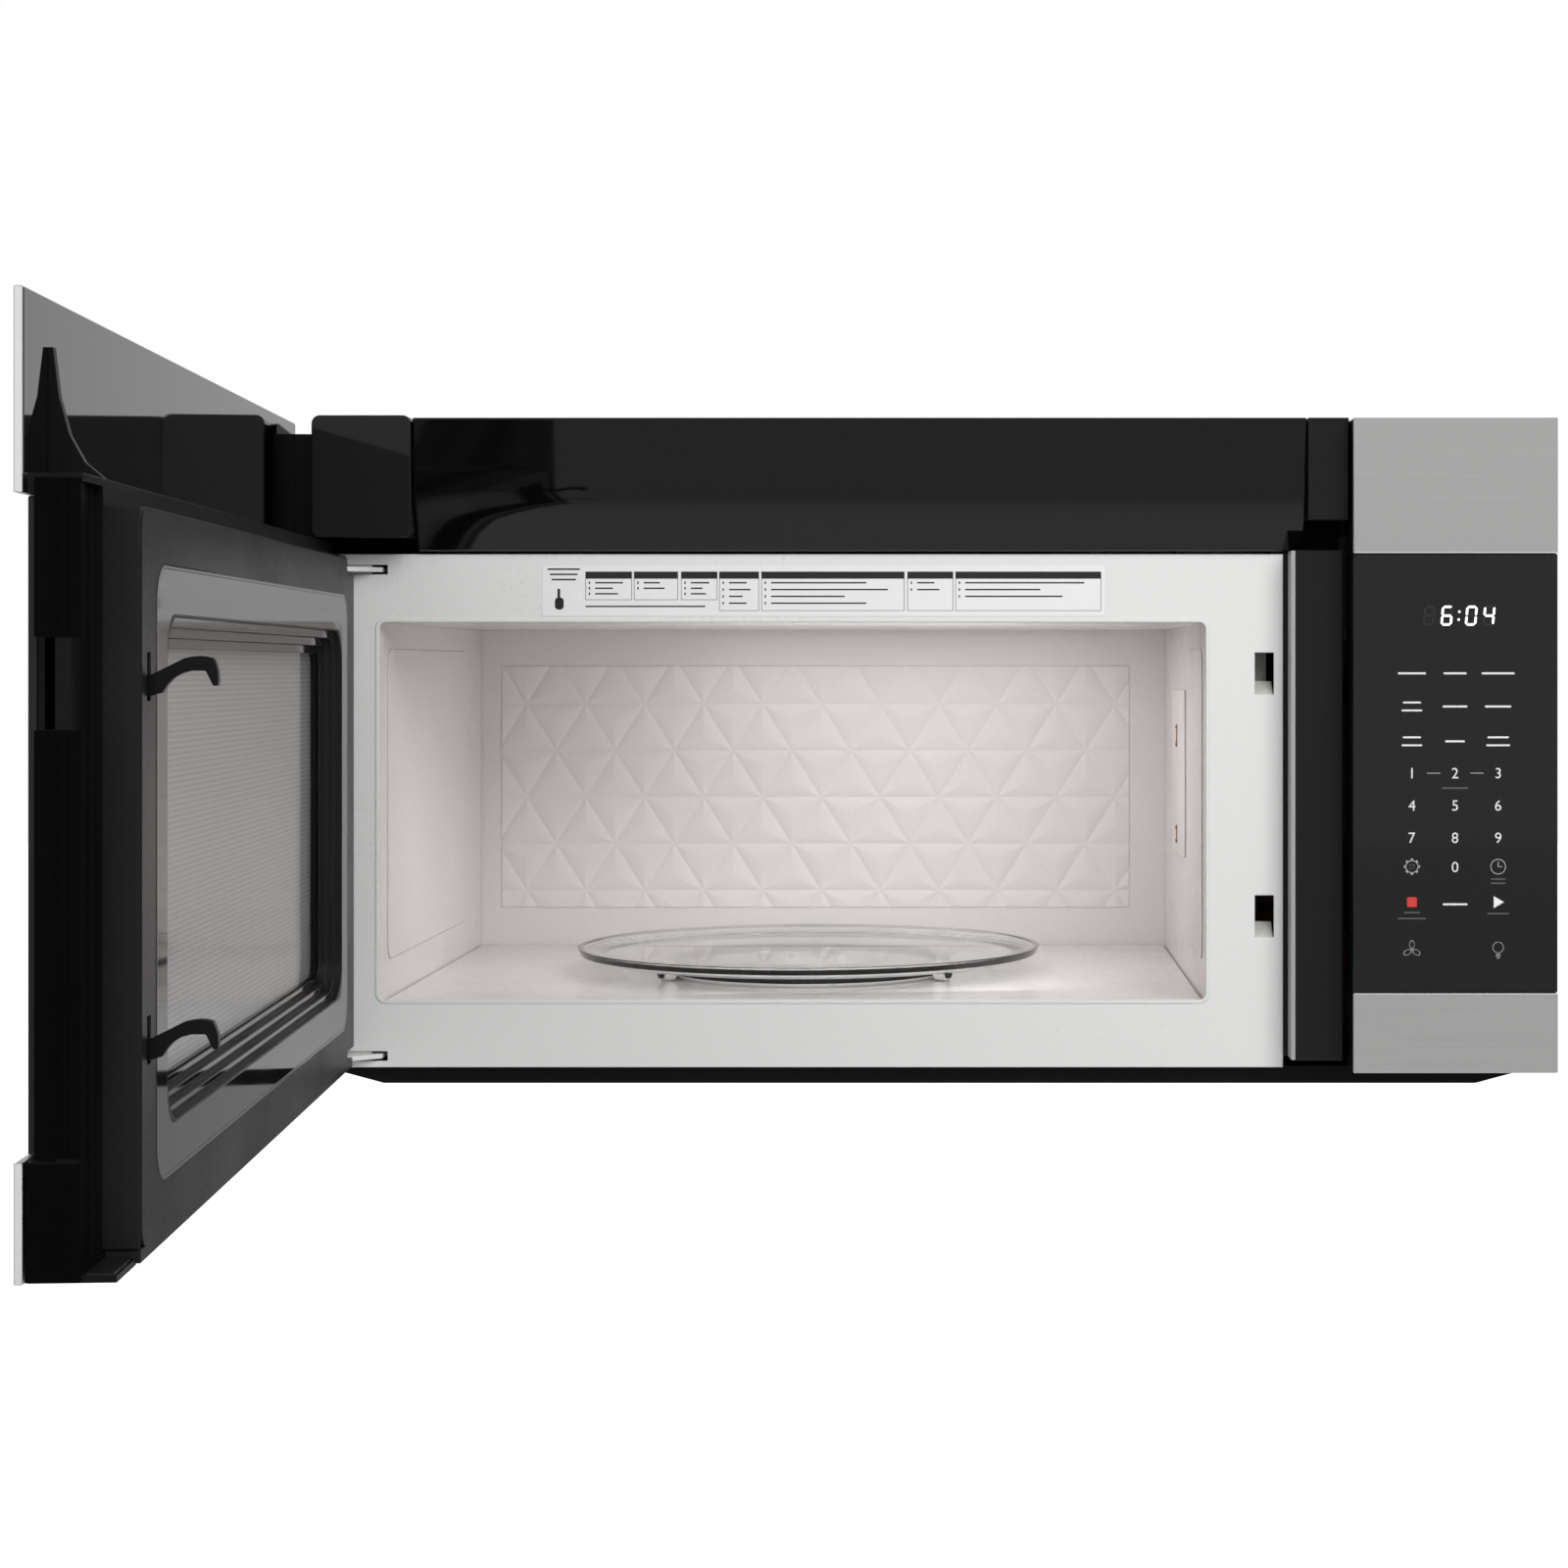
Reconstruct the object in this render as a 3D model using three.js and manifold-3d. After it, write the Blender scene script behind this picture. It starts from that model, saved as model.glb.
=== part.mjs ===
// Over-the-range microwave oven, standing with its door open, in millimetres.
// +X is to the right, +Y towards the wall and +Z up. y = 0 is the flat back, x = 0 the middle of the casing.
// The door is drawn closed, inside a group that is turned about its hinge axis.
import * as THREE from "three";
import { mergeVertices } from "three/addons/utils/BufferGeometryUtils.js";
import Module from "manifold-3d";

const wasm = await Module();
wasm.setup();

// ---- Driving dimensions ----------------------------------------------------------------------------
// Sideways places are measured from the casing's middle, from its left or right side, from the control
// panel's left edge or from the cavity's right wall. Depths are measured back from the front plane,
// or forward from the flat back.
const gap = 0.3; // between neighbouring pieces
const sheet = 1.2; // folded steel sheet of the casing
const wall = 2.5; // moulded plastic wall
const overlap = 0.6; // how far the blocks of one piece run into each other
const past = 1; // how far a cutting block runs past the face that it opens

const body = { width: 759, depth: 436, top: 206.4, bottom: -203.5 };

// The front frame stands this far behind the front plane, and the cavity opens through it.
const frame = {
  setback: 43,
  thickness: 1.5,
  fromLeft: 0.5,
  fromControl: 37.7,
  top: 124.3,
  bottom: -192.8,
  flange: 47,
};
const cavity = {
  fromLeft: 39.5,
  fromControl: 85.4,
  aboveFloor: 49.5,
  lip: 3,
  belowTop: 124.2,
  fromBack: 23,
  wall: 1,
  corner: 4,
};

// Front faces of door and control panel, from the top: stainless band, black glass, stainless band.
const face = {
  top: 204.9,
  glassTop: 122.8,
  glassBottom: -141.8,
  bottom: -190.3,
  band: 3.7,
  glass: 4,
  glassInset: 1,
};
const control = { width: 123.4, housingInset: 1, housingDepth: 40 };
const display = { inset: 10, top: 112, height: 34 };
const board = { depth: 14, thickness: 1.6, left: 12, right: 10, low: 50, belowTop: 1 };
const boardPost = { left: 18, right: 16, low: 60, belowTop: 6 };
const relay = { count: 3, start: 14, pitch: 28, width: 20, height: 28, low: 62, depth: 20 };

const door = {
  openAngle: 86.2, // as it stands here; it stops at 90
  seam: 0.6, // between the door's free edge and the control panel
  hingeInset: 13.7, // from the casing's left side to the hinge axis
  hingeSetback: 28.6, // from the front plane to the hinge axis
  inset: 1, // of the moulded frame, inside the outline of the faces
  bottomInset: 0.5,
  frameDepth: 26.8,
  thinDepth: 22, // of the frame's free end, in front of the bay frame
  innerDepth: 42.2,
  shelfTop: 131, // top of the moulded frame, behind the top band
  shelfDepth: 40, // of the bottom shelf at the free end
  shelfThickness: 3.2,
  shelfStart: 1, // from the cover on the inner face to the thin free end
  rim: 4.5,
  handWidth: 18, // finger recess along the free edge
  handDepth: 16,
};
const pocket = { fromControl: 41.1, bottom: 29, height: 37, depth: 8 }; // finger hole beside the recess

// Moulded cover on the door's inner face: its outside, then its window opening with three ledges.
const cover = { fromLeft: 17.7, fromControl: 36.5, bottom: -184, top: 120, corner: 10 };
const viewing = {
  fromLeft: 80,
  fromControl: 98.6,
  bottom: -127.5,
  top: 62.5,
  corner: 8,
  ledge: 4.5,
  ledges: 3,
  lowest: 31,
  rise: 3.7,
};
const window = { lip: 5.2, thickness: 3 };
const screen = { margin: 38, thickness: 1 };

const gusset = { fromEdge: 40, thickness: 5, top: 184.6, reach: 2.4, bend: 9, bendHeight: 9 };
const endRib = { thickness: 3, depth: 17.3, top: 198 };

const latch = {
  fromControl: 49.1,
  thickness: 5,
  barBack: 36,
  barTop: 70,
  barEnd: 9.9, // below the lower hook
  pitch: 150,
  travel: 4.5,
  sideClearance: 1,
  slotMargin: 1.7,
  slotRoom: 5.4,
};
const hook = {
  root: 41.9,
  height: 8.4,
  neck: 43.5,
  rise: 51.5,
  throat: 52.5,
  crown: 58.7,
  crownRise: 1,
  noseBottom: 46.3,
  reach: 29.5,
  nose: 3,
};
const hookShare = { neck: 1 / 5, bend: 1 / 3, shoulder: 1 / 2, throat: 0.6, crest: 0.75, tip: 1 / 3 };
const latchSpring = { radius: 3, wire: 0.5, turns: 7, stepsPerTurn: 10, wireSides: 3, length: 39 };
const springPost = { height: 4, halfWidth: 4 };
// The front frame has a slot and a slanting ramp for each hook.
const slot = { fromLatch: 6, width: 11.7, bottom: 37.6, height: 25.8 };
const ramp = { start: 47, crest: 59, end: 66, height: 8.2, thickness: 2 };
const interlock = {
  fromLatch: 13,
  depth: 42,
  belowSlot: 12.6,
  top: 78,
  footGap: 1,
  pinRadius: 1.5,
  pinEnd: 1.5,
};
const leverSize = { top: 74, length: 30, thickness: 3, sideMargin: 1.5, behindHook: 1.2 };
const microSwitch = { width: 10, depth: 16, height: 22, setback: 81.5 };
const switchButton = { inset: 1, low: 4, height: 4, out: 1 };

const arm = {
  thickness: 3,
  upper: 113.2,
  lower: -187.4,
  bossRadius: 6.5,
  pinRadius: 3,
  pinLength: 7.5,
  fromLeft: 41.5,
  reach: 60,
};
const armFlange = { start: 7.5, end: 34.5, thickness: 2.5, height: 9, lowerTop: -150 };
const hingeSlot = { height: 5.8, fromLeft: 44.5, drop: 1.4 };
const lug = { left: 7, right: 20, front: 12, back: 7, lift: 1, thickness: 5.8, bore: 3.5, boreEnd: 2 };
const notch = { right: 30, front: 8.5, below: 2.4, above: 2 };

const header = {
  depth: 60,
  face: 17,
  foot: 40,
  footHeight: 144,
  bottom: 126,
  shoulder: 176,
  wall: 2.5,
  fromLeft: 64.5,
  fromControl: 25.6,
};
const endCap = { fromLeft: 4.2, face: 14, bottom: 133, rise: 1.2, corner: 5 };
const louvre = { count: 9, width: 44, margin: 26.75, length: 20, start: 30 };

// Black frame between the cavity's front frame and the control panel, and the header's right end on it.
const bay = {
  left: 34.5,
  right: 3.1,
  backLeft: 42.1,
  endRight: 0.1,
  front: 24,
  bottom: -186,
  top: 126,
  backStart: 46,
  backEnd: 58,
};

const pan = { front: 50, edge: -192.5, run: 41, thickness: 1.5 };
const grease = {
  width: 195,
  length: 128,
  thickness: 8,
  fromMiddle: 190,
  start: 110,
  lip: 6,
  lipThickness: 1.5,
};
const greaseTab = { start: 20, thickness: 2, halfWidth: 12, drop: 6 };
const lamp = {
  width: 86,
  length: 62,
  start: 300,
  cover: 3,
  coverGap: 0.6,
  fromMiddle: 50,
  shellMargin: 4,
  bulb: 14,
  bulbEnd: 10,
  bulbLift: 3,
  headroom: 5,
  socket: 13,
  socketLength: 28,
};

const tray = {
  radius: 157,
  bottom: -143.4,
  rimTop: -134.5,
  thickness: 4,
  flat: 140,
  rimFoot: 7,
  sides: 64,
};
const trayNub = { radius: 30, length: 8, width: 8, height: 4.6 };
const ring = { inner: 88, outer: 96, height: 5, sides: 48 };
const roller = {
  radius: 5,
  width: 8,
  track: 105,
  bore: 2.2,
  axle: 1.7,
  axleRoot: 1,
  head: 3.2,
  headWidth: 2,
  count: 3,
};
const coupler = {
  hub: 11,
  lobe: 25,
  lobeWidth: 8,
  height: 7.4,
  lobeHeight: 4.6,
  lift: 0.6,
  socket: 4.3,
  socketDepth: 5,
  lobes: 3,
};
const trayMotor = { radius: 25, height: 16, shaft: 3.5, shaftLength: 5.8, hole: 6 };

const mica = { start: 205, length: 110, bottom: -74, height: 112.8, thickness: 1 };
const guide = {
  start: 215,
  length: 90,
  depth: 40,
  bottom: -70,
  top: 150,
  wall: 1.2,
  portInset: 10,
  portTop: 20,
};
const magnetron = {
  width: 86,
  length: 76,
  height: 71,
  centre: 108,
  antenna: 9,
  antennaLength: 19,
  antennaHole: 11,
};
const magnetronPlate = { thickness: 1.7, lengthMargin: 8, heightMargin: 6 };
const magnetronBox = { width: 25, lengthInset: 12, heightInset: 10 };
const magnetronGroove = { count: 5, share: 0.4, depth: 26, inset: 8 };
const transformer = {
  fromCavity: 54.3,
  fromBack: 146,
  width: 100,
  length: 80,
  height: 84,
  foot: 4,
  footMargin: 10,
  coil: 14,
  corner: 6,
};
const windingShares = [0.28, 0.68]; // heights of the two windings on the core
const capacitor = { fromCavity: 28.3, fromBack: 131, length: 50, width: 32, height: 92, flat: 2 };
const capacitorTab = { width: 6, thickness: 2, height: 12, shares: [0.3, 0.7] };

const blower = {
  x: -20,
  fromBack: 96,
  radius: 56,
  wheel: 46,
  wheelWidth: 66,
  wall: 1.5,
  motorRadius: 38,
  motorLength: 84,
  inlet: 36,
};
const blowerBase = { height: 3, halfLength: 30, rise: 6.8 };
const motorFoot = { inset: 10, top: 10 };
const rotor = {
  shaft: 4,
  bore: 5,
  blades: 14,
  bladeDepth: 9,
  bladeThickness: 2,
  bladeInset: 0.5,
  disc: 2,
  hub: 10,
  side: 5,
};
const duct = { width: 254, length: 83 };
const charcoal = { left: -180, width: 280, height: 74, thickness: 18, start: 62 };

const fan = { fromRight: 84.5, z: 85, side: 110, fromBack: 51, wall: 1.5, hole: 46, wheel: 43, hub: 14 };
const fanBlade = { count: 5, width: 17, thickness: 1.5, twist: 35, root: 3, tip: 1, trim: 0.5 };
const fanMotor = {
  radius: 18,
  length: 22,
  bar: 14,
  barThickness: 3,
  setback: 18,
  wheelDepth: 13,
  shaft: 2,
  shaftLength: 10,
  bore: 2.5,
};

const cavityLamp = { fromCavity: 40.7, start: 150, width: 34, length: 44, height: 30, glass: 9, lift: 4 };
const bushing = { fromRight: 229.5, fromBack: 36, hole: 13, bore: 7, flange: 17, flangeHeight: 2 };

// ---- Places worked out from them -------------------------------------------------------------------
const behind = (v) => -body.depth + v; // y of a plane that far behind the front plane
const left = -body.width / 2;
const right = body.width / 2;
const controlLeft = right - control.width;
const freeEdge = controlLeft - door.seam;
const hinge = { x: left + door.hingeInset, y: behind(door.hingeSetback) };

// The reach along X of a piece that is placed from the left side and from the control panel.
const reachOf = (piece) => [left + piece.fromLeft, controlLeft - piece.fromControl];
const frameX = reachOf(frame);
const cavityX = reachOf(cavity);
const coverX = reachOf(cover);
const viewingX = reachOf(viewing);
const headerX = reachOf(header);
const bayX = [controlLeft - bay.left, controlLeft - bay.right];
const bayBackLeft = controlLeft - bay.backLeft;
const headerEndRight = controlLeft - bay.endRight;
const pocketLeft = controlLeft - pocket.fromControl;
const latchX = controlLeft - latch.fromControl;
const latchBarBottom = hook.root - latch.pitch - latch.barEnd;
const slotLeft = latchX - slot.fromLatch;
const fanX = right - fan.fromRight;

const frameBack = behind(frame.setback + frame.thickness);
const cavityBottom = body.bottom + cavity.aboveFloor;
const cavityTop = body.top - cavity.belowTop;
const cavityBack = -cavity.fromBack;
const cavityFront = frameBack + gap;
const table = { x: (cavityX[0] + cavityX[1]) / 2, y: (behind(frame.setback) + cavityBack) / 2 };
const rollerZ = cavityBottom + gap + roller.radius;
const innerBack = -sheet - gap; // front of the back panel's clearance
const blowerY = -blower.fromBack;
const blowerZ = cavityTop + cavity.wall + blowerBase.rise + blower.radius;
const panFloor = body.bottom + pan.thickness;

// ---- Solids ----------------------------------------------------------------------------------------
const circleSides = 24;
const pinSides = 16;
const smallSides = 12;
const cornerSides = 4;

// A closed three.js geometry as a solid that can be joined and cut.
function solid(geometry) {
  const bare = geometry.index ? geometry.toNonIndexed() : geometry.clone();
  bare.deleteAttribute("normal");
  bare.deleteAttribute("uv");
  const merged = mergeVertices(bare, 1e-4);
  const corners = merged.index.array;
  const triVerts = [];
  for (let i = 0; i < corners.length; i += 3) {
    const [a, b, c] = [corners[i], corners[i + 1], corners[i + 2]];
    if (a !== b && b !== c && c !== a) triVerts.push(a, b, c);
  }
  const mesh = new wasm.Mesh({
    numProp: 3,
    vertProperties: merged.attributes.position.array,
    triVerts: new Uint32Array(triVerts),
  });
  return new wasm.Manifold(mesh);
}

function block([x0, x1], [y0, y1], [z0, z1]) {
  const box = new THREE.BoxGeometry(x1 - x0, y1 - y0, z1 - z0);
  return solid(box.translate((x0 + x1) / 2, (y0 + y1) / 2, (z0 + z1) / 2));
}

function extruded(outline, depth) {
  return new THREE.ExtrudeGeometry(outline, { depth, bevelEnabled: false, curveSegments: cornerSides });
}

// An outline drawn in X and Z, from y0 back to y1.
function panel(outline, [y0, y1]) {
  return solid(extruded(outline, y1 - y0).rotateX(Math.PI / 2).translate(0, y1, 0));
}

// An outline drawn in Y and Z, from x0 to x1.
function rail(outline, [x0, x1]) {
  const turn = new THREE.Matrix4().makeBasis(
    new THREE.Vector3(0, 1, 0),
    new THREE.Vector3(0, 0, 1),
    new THREE.Vector3(1, 0, 0),
  );
  return solid(extruded(outline, x1 - x0).applyMatrix4(turn).translate(x0, 0, 0));
}

// An outline drawn in X and Y, from z0 up to z1.
function slab(outline, [z0, z1]) {
  return solid(extruded(outline, z1 - z0).translate(0, 0, z0));
}

// A profile of radius and height, turned about an upright axis through x, y.
function turned(profile, [x, y], sides = circleSides) {
  const points = profile.map(([radius, height]) => new THREE.Vector2(radius, height));
  return solid(new THREE.LatheGeometry(points, sides).rotateX(Math.PI / 2).translate(x, y, 0));
}

function disc(radius, [x, y], [z0, z1], sides = circleSides) {
  return turned([[0, z0], [radius, z0], [radius, z1], [0, z1]], [x, y], sides);
}

// A round bar along X, through y, z.
function barX(radius, [y, z], [x0, x1], sides = circleSides) {
  const bar = new THREE.CylinderGeometry(radius, radius, x1 - x0, sides).rotateZ(Math.PI / 2);
  return solid(bar.translate((x0 + x1) / 2, y, z));
}

// A round bar along Y, through x, z.
function barY(radius, [x, z], [y0, y1], sides = circleSides) {
  const bar = new THREE.CylinderGeometry(radius, radius, y1 - y0, sides);
  return solid(bar.translate(x, (y0 + y1) / 2, z));
}

function polygon(points) {
  return new THREE.Shape(points.map(([a, b]) => new THREE.Vector2(a, b)));
}

function roundedOutline([a0, a1], [b0, b1], radius) {
  const shape = new THREE.Shape();
  shape.moveTo(a0 + radius, b0);
  shape.absarc(a1 - radius, b0 + radius, radius, -Math.PI / 2, 0);
  shape.absarc(a1 - radius, b1 - radius, radius, 0, Math.PI / 2);
  shape.absarc(a0 + radius, b1 - radius, radius, Math.PI / 2, Math.PI);
  shape.absarc(a0 + radius, b0 + radius, radius, Math.PI, 1.5 * Math.PI);
  return shape;
}

const joined = (first, ...others) => others.reduce((sum, piece) => sum.add(piece), first);
const cut = (piece, ...tools) => tools.reduce((rest, tool) => rest.subtract(tool), piece);
const around = (count, make) => Array.from({ length: count }, (_, i) => make((2 * Math.PI * i) / count));

// A block laid along a spoke at the given angle, from radius r0 to r1.
function spoke([x, y], angle, [r0, r1], width, [z0, z1]) {
  const box = new THREE.BoxGeometry(r1 - r0, width, z1 - z0).translate((r0 + r1) / 2, 0, (z0 + z1) / 2);
  return solid(box.rotateZ(angle).translate(x, y, 0));
}

// ---- Casing ----------------------------------------------------------------------------------------
const topRange = [body.top - sheet, body.top];
const sideBottom = pan.edge + pan.thickness + gap;

const throughTop = [body.top - 2 * sheet, body.top + sheet];
const bushingCentre = [right - bushing.fromRight, -bushing.fromBack];

function ductOpening() {
  const x = [blower.x - duct.width / 2, blower.x + duct.width / 2];
  return block(x, [blowerY, blowerY + duct.length], throughTop);
}

function caseTop() {
  const plate = block([left, right], [behind(header.depth) + gap, innerBack], topRange);
  const tongue = block(
    [headerEndRight, right],
    [behind(control.housingDepth) + gap, behind(header.depth) + gap + overlap],
    topRange,
  );
  return cut(joined(plate, tongue), ductOpening(), disc(bushing.hole, bushingCentre, throughTop));
}

const sideHeight = [sideBottom, body.top - sheet - gap];

function caseLeftSide() {
  return block([left, left + sheet], [cavityFront, innerBack], sideHeight);
}

function caseRightSide() {
  return block([right - sheet, right], [behind(control.housingDepth) + gap, innerBack], sideHeight);
}

function backPanel() {
  return block([left, right], [-sheet, 0], [pan.edge, body.top]);
}

function panOutline(floor) {
  const run = left + pan.run;
  return [
    [left, pan.edge],
    [run, floor],
    [-run, floor],
    [right, pan.edge],
  ];
}

const sides = [-1, 1];
const greaseRange = (side, inset = 0) => [
  side * grease.fromMiddle - grease.width / 2 + inset,
  side * grease.fromMiddle + grease.width / 2 - inset,
];
const greaseDepth = (inset = 0) => [
  behind(grease.start + inset),
  behind(grease.start + grease.length - inset),
];
const lampRange = (side, inset = 0) => [
  side * lamp.fromMiddle - lamp.width / 2 + inset,
  side * lamp.fromMiddle + lamp.width / 2 - inset,
];
const lampDepth = (inset = 0) => [behind(lamp.start + inset), behind(lamp.start + lamp.length - inset)];

// The rail over the front or back edge of a grease filter's opening, which holds the filter, and its foot.
function greaseRail(side, start) {
  const end = start + 2 * grease.lip;
  const top = panFloor + grease.thickness;
  const foot =
    start < grease.start
      ? [behind(start), behind(grease.start - gap)]
      : [behind(grease.start + grease.length + gap), behind(end)];
  return joined(
    block(greaseRange(side), [behind(start), behind(end)], [top, top + grease.lipThickness]),
    block(greaseRange(side), foot, [body.bottom, top + overlap]),
  );
}

function basePan() {
  const under = panOutline(body.bottom);
  const over = under.map(([x, z]) => [x, z + pan.thickness]).reverse();
  const strip = panel(polygon([...under, ...over]), [behind(pan.front), innerBack]);
  const lip = panel(polygon(under), [behind(pan.front), behind(pan.front) + pan.thickness]);
  const through = [body.bottom - pan.thickness, panFloor + pan.thickness];
  const holes = sides.flatMap((side) => [
    block(greaseRange(side), greaseDepth(), through),
    block(lampRange(side), lampDepth(), through),
  ]);
  const rails = sides.flatMap((side) =>
    [grease.start - grease.lip, grease.start + grease.length - grease.lip].map((start) =>
      greaseRail(side, start),
    ),
  );
  return joined(cut(joined(strip, lip), ...holes), ...rails);
}

const drops = [0, latch.pitch]; // of the lower hook, its slots and its switch, from the upper one
const armHeights = [arm.upper, arm.lower];

function frontFrame() {
  const y = [behind(frame.setback), frameBack];
  const cutY = [y[0] - past, y[1] + past];
  const plate = block([frameX[0], frameX[1]], y, [frame.bottom, frame.top]);
  const flange = block([left + sheet + gap, bayBackLeft - gap], [y[0], y[1] + frame.flange], [
    frame.top - frame.thickness,
    frame.top,
  ]);
  const opening = panel(roundedOutline(cavityX, [cavityBottom + cavity.lip, cavityTop], cavity.corner), cutY);
  const latchSlots = drops.map((drop) =>
    block([slotLeft, slotLeft + slot.width], cutY, [slot.bottom - drop, slot.bottom - drop + slot.height]),
  );
  const hingeSlots = armHeights.map((z) =>
    block([frameX[0] - past, left + hingeSlot.fromLeft], cutY, [
      z - hingeSlot.drop,
      z - hingeSlot.drop + hingeSlot.height,
    ]),
  );
  return cut(joined(plate, flange), opening, ...latchSlots, ...hingeSlots);
}

// ---- Cavity ----------------------------------------------------------------------------------------
const cavityDepth = [cavityFront, cavityBack];
const cavitySideHeight = [cavityBottom - cavity.wall, cavityTop + cavity.wall];
const portY = [behind(guide.start + guide.portInset), behind(guide.start + guide.length - guide.portInset)];
const portZ = [guide.bottom + guide.portInset, guide.portTop];

function cavityLeftWall() {
  return block([cavityX[0] - cavity.wall, cavityX[0]], cavityDepth, cavitySideHeight);
}

function cavityRightWall() {
  const plate = block([cavityX[1], cavityX[1] + cavity.wall], cavityDepth, cavitySideHeight);
  const port = block([cavityX[1] - past, cavityX[1] + cavity.wall + past], portY, portZ);
  return cut(plate, port);
}

const cavityInside = [cavityX[0] + gap, cavityX[1] - gap];
const cavityLampX = cavityX[1] - cavityLamp.fromCavity;

function cavityCeiling() {
  const plate = block(cavityInside, cavityDepth, [cavityTop, cavityTop + cavity.wall]);
  const centre = [cavityLampX, behind(cavityLamp.start + cavityLamp.length / 2)];
  return cut(plate, disc(cavityLamp.glass, centre, [cavityTop - past, cavityTop + cavity.wall + past]));
}

function cavityFloor() {
  const plate = block(cavityInside, cavityDepth, [cavityBottom - cavity.wall, cavityBottom]);
  const through = [cavityBottom - 2 * cavity.wall, cavityBottom + past];
  return cut(plate, disc(trayMotor.hole, [table.x, table.y], through));
}

function cavityBackWall() {
  const y = [cavityBack + gap, cavityBack + gap + cavity.wall];
  return block([cavityX[0] - cavity.wall, cavityX[1] + cavity.wall], y, cavitySideHeight);
}

function waveguideCover() {
  const x = [cavityX[1] - gap - mica.thickness, cavityX[1] - gap];
  const y = [behind(mica.start), behind(mica.start + mica.length)];
  return block(x, y, [mica.bottom, mica.bottom + mica.height]);
}

// ---- Header and bay frame --------------------------------------------------------------------------
// The header's curved section. The inset and the reach past its open back and foot shape its inside.
function headerSection(inset, reach) {
  const shape = new THREE.Shape();
  const faceY = behind(header.face) + inset;
  const footY = behind(header.foot) + inset;
  shape.moveTo(behind(header.depth) + reach, body.top - inset);
  shape.lineTo(faceY, body.top - inset);
  shape.lineTo(faceY, header.shoulder);
  shape.quadraticCurveTo(faceY, header.footHeight, footY, header.footHeight);
  shape.lineTo(footY, header.bottom - reach);
  shape.lineTo(behind(header.depth) + reach, header.bottom - reach);
  return shape;
}

function headerPanel() {
  const outer = rail(headerSection(0, 0), [headerX[0] + gap, headerX[1] - gap]);
  const inside = rail(headerSection(header.wall, past), [headerX[0] - past, headerX[1] + past]);
  const first = headerX[0] + louvre.margin;
  const pitch = (headerX[1] - louvre.margin - louvre.width - first) / (louvre.count - 1);
  const slots = Array.from({ length: louvre.count }, (_, i) => {
    const x = first + i * pitch;
    return block(
      [x, x + louvre.width],
      [behind(louvre.start), behind(louvre.start + louvre.length)],
      [body.top - 2 * header.wall, body.top + past],
    );
  });
  return cut(outer, inside, ...slots);
}

function headerEndCap() {
  const x = [left + endCap.fromLeft, headerX[0]];
  const outline = roundedOutline(x, [endCap.bottom, body.top + endCap.rise], endCap.corner);
  const hollow = block(
    [x[0] + header.wall, x[1] - header.wall],
    [behind(endCap.face) + header.wall, behind(header.depth) + past],
    [endCap.bottom + header.wall, body.top - header.wall],
  );
  const y = [behind(endCap.face), behind(header.depth)];
  return cut(panel(outline, y), hollow);
}

function bayFrame() {
  const behindBay = behind(bay.backEnd) + past;
  const front = block(bayX, [behind(bay.front), behind(bay.backStart) + overlap], [bay.bottom, bay.top]);
  const hollow = block(
    [bayX[0] + wall, bayX[1] - wall],
    [behind(bay.front) + wall, behindBay],
    [bay.bottom + wall, bay.top - wall],
  );
  const backX = [bayBackLeft, bayX[1]];
  const back = block(backX, [behind(bay.backStart), behind(bay.backEnd)], [bay.bottom, body.top]);
  const backHollow = block(
    [backX[0] + wall, backX[1] - wall],
    [behind(bay.backStart) + wall, behindBay],
    [bay.bottom + wall, body.top - wall],
  );
  const headerEnd = block(
    [headerX[1] + gap, headerEndRight - gap],
    [behind(header.face), behind(bay.backEnd)],
    [header.footHeight, body.top],
  );
  const endHollow = block(
    [headerX[1] + gap + wall, headerEndRight - gap - wall],
    [behind(header.face) + wall, behindBay],
    [header.footHeight + wall, body.top - wall],
  );
  const headerSeat = block(
    [bayBackLeft - past, headerX[1] + gap],
    [behind(0), behind(header.depth)],
    [header.bottom, body.top + past],
  );
  return cut(joined(front, back, headerEnd), hollow, backHollow, endHollow, headerSeat);
}

// ---- Control panel ---------------------------------------------------------------------------------
const bandDepth = [behind(0), behind(face.band)];
const glassDepth = [behind(face.glassInset), behind(face.glassInset + face.glass)];
const housingFront = behind(face.glassInset + face.glass) + gap;
const topBandHeight = [face.glassTop + gap, face.top];
const bottomBandHeight = [face.bottom, face.glassBottom - gap];
const boardY = behind(board.depth);

function displayRange(inset) {
  return [
    [controlLeft + display.inset + inset, right - display.inset - inset],
    [display.top - display.height + inset, display.top - inset],
  ];
}

function controlHousing() {
  const x = [controlLeft + control.housingInset, right - gap];
  const back = behind(control.housingDepth);
  const outer = block(x, [housingFront, back], [face.bottom, face.top]);
  const hollow = block(
    [x[0] + wall, x[1] - wall],
    [housingFront + wall, back + past],
    [face.bottom + wall, face.top - wall],
  );
  const [windowX, windowZ] = displayRange(0);
  const opening = block(windowX, [housingFront - past, housingFront + 2 * wall], windowZ);
  const posts = [controlLeft + boardPost.left, right - boardPost.right].flatMap((postX) =>
    [face.glassBottom + boardPost.low, face.glassTop - boardPost.belowTop].map((z) =>
      barY(wall, [postX, z], [housingFront + wall / 2, boardY - gap], smallSides),
    ),
  );
  return joined(cut(outer, hollow, opening), ...posts);
}

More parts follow.
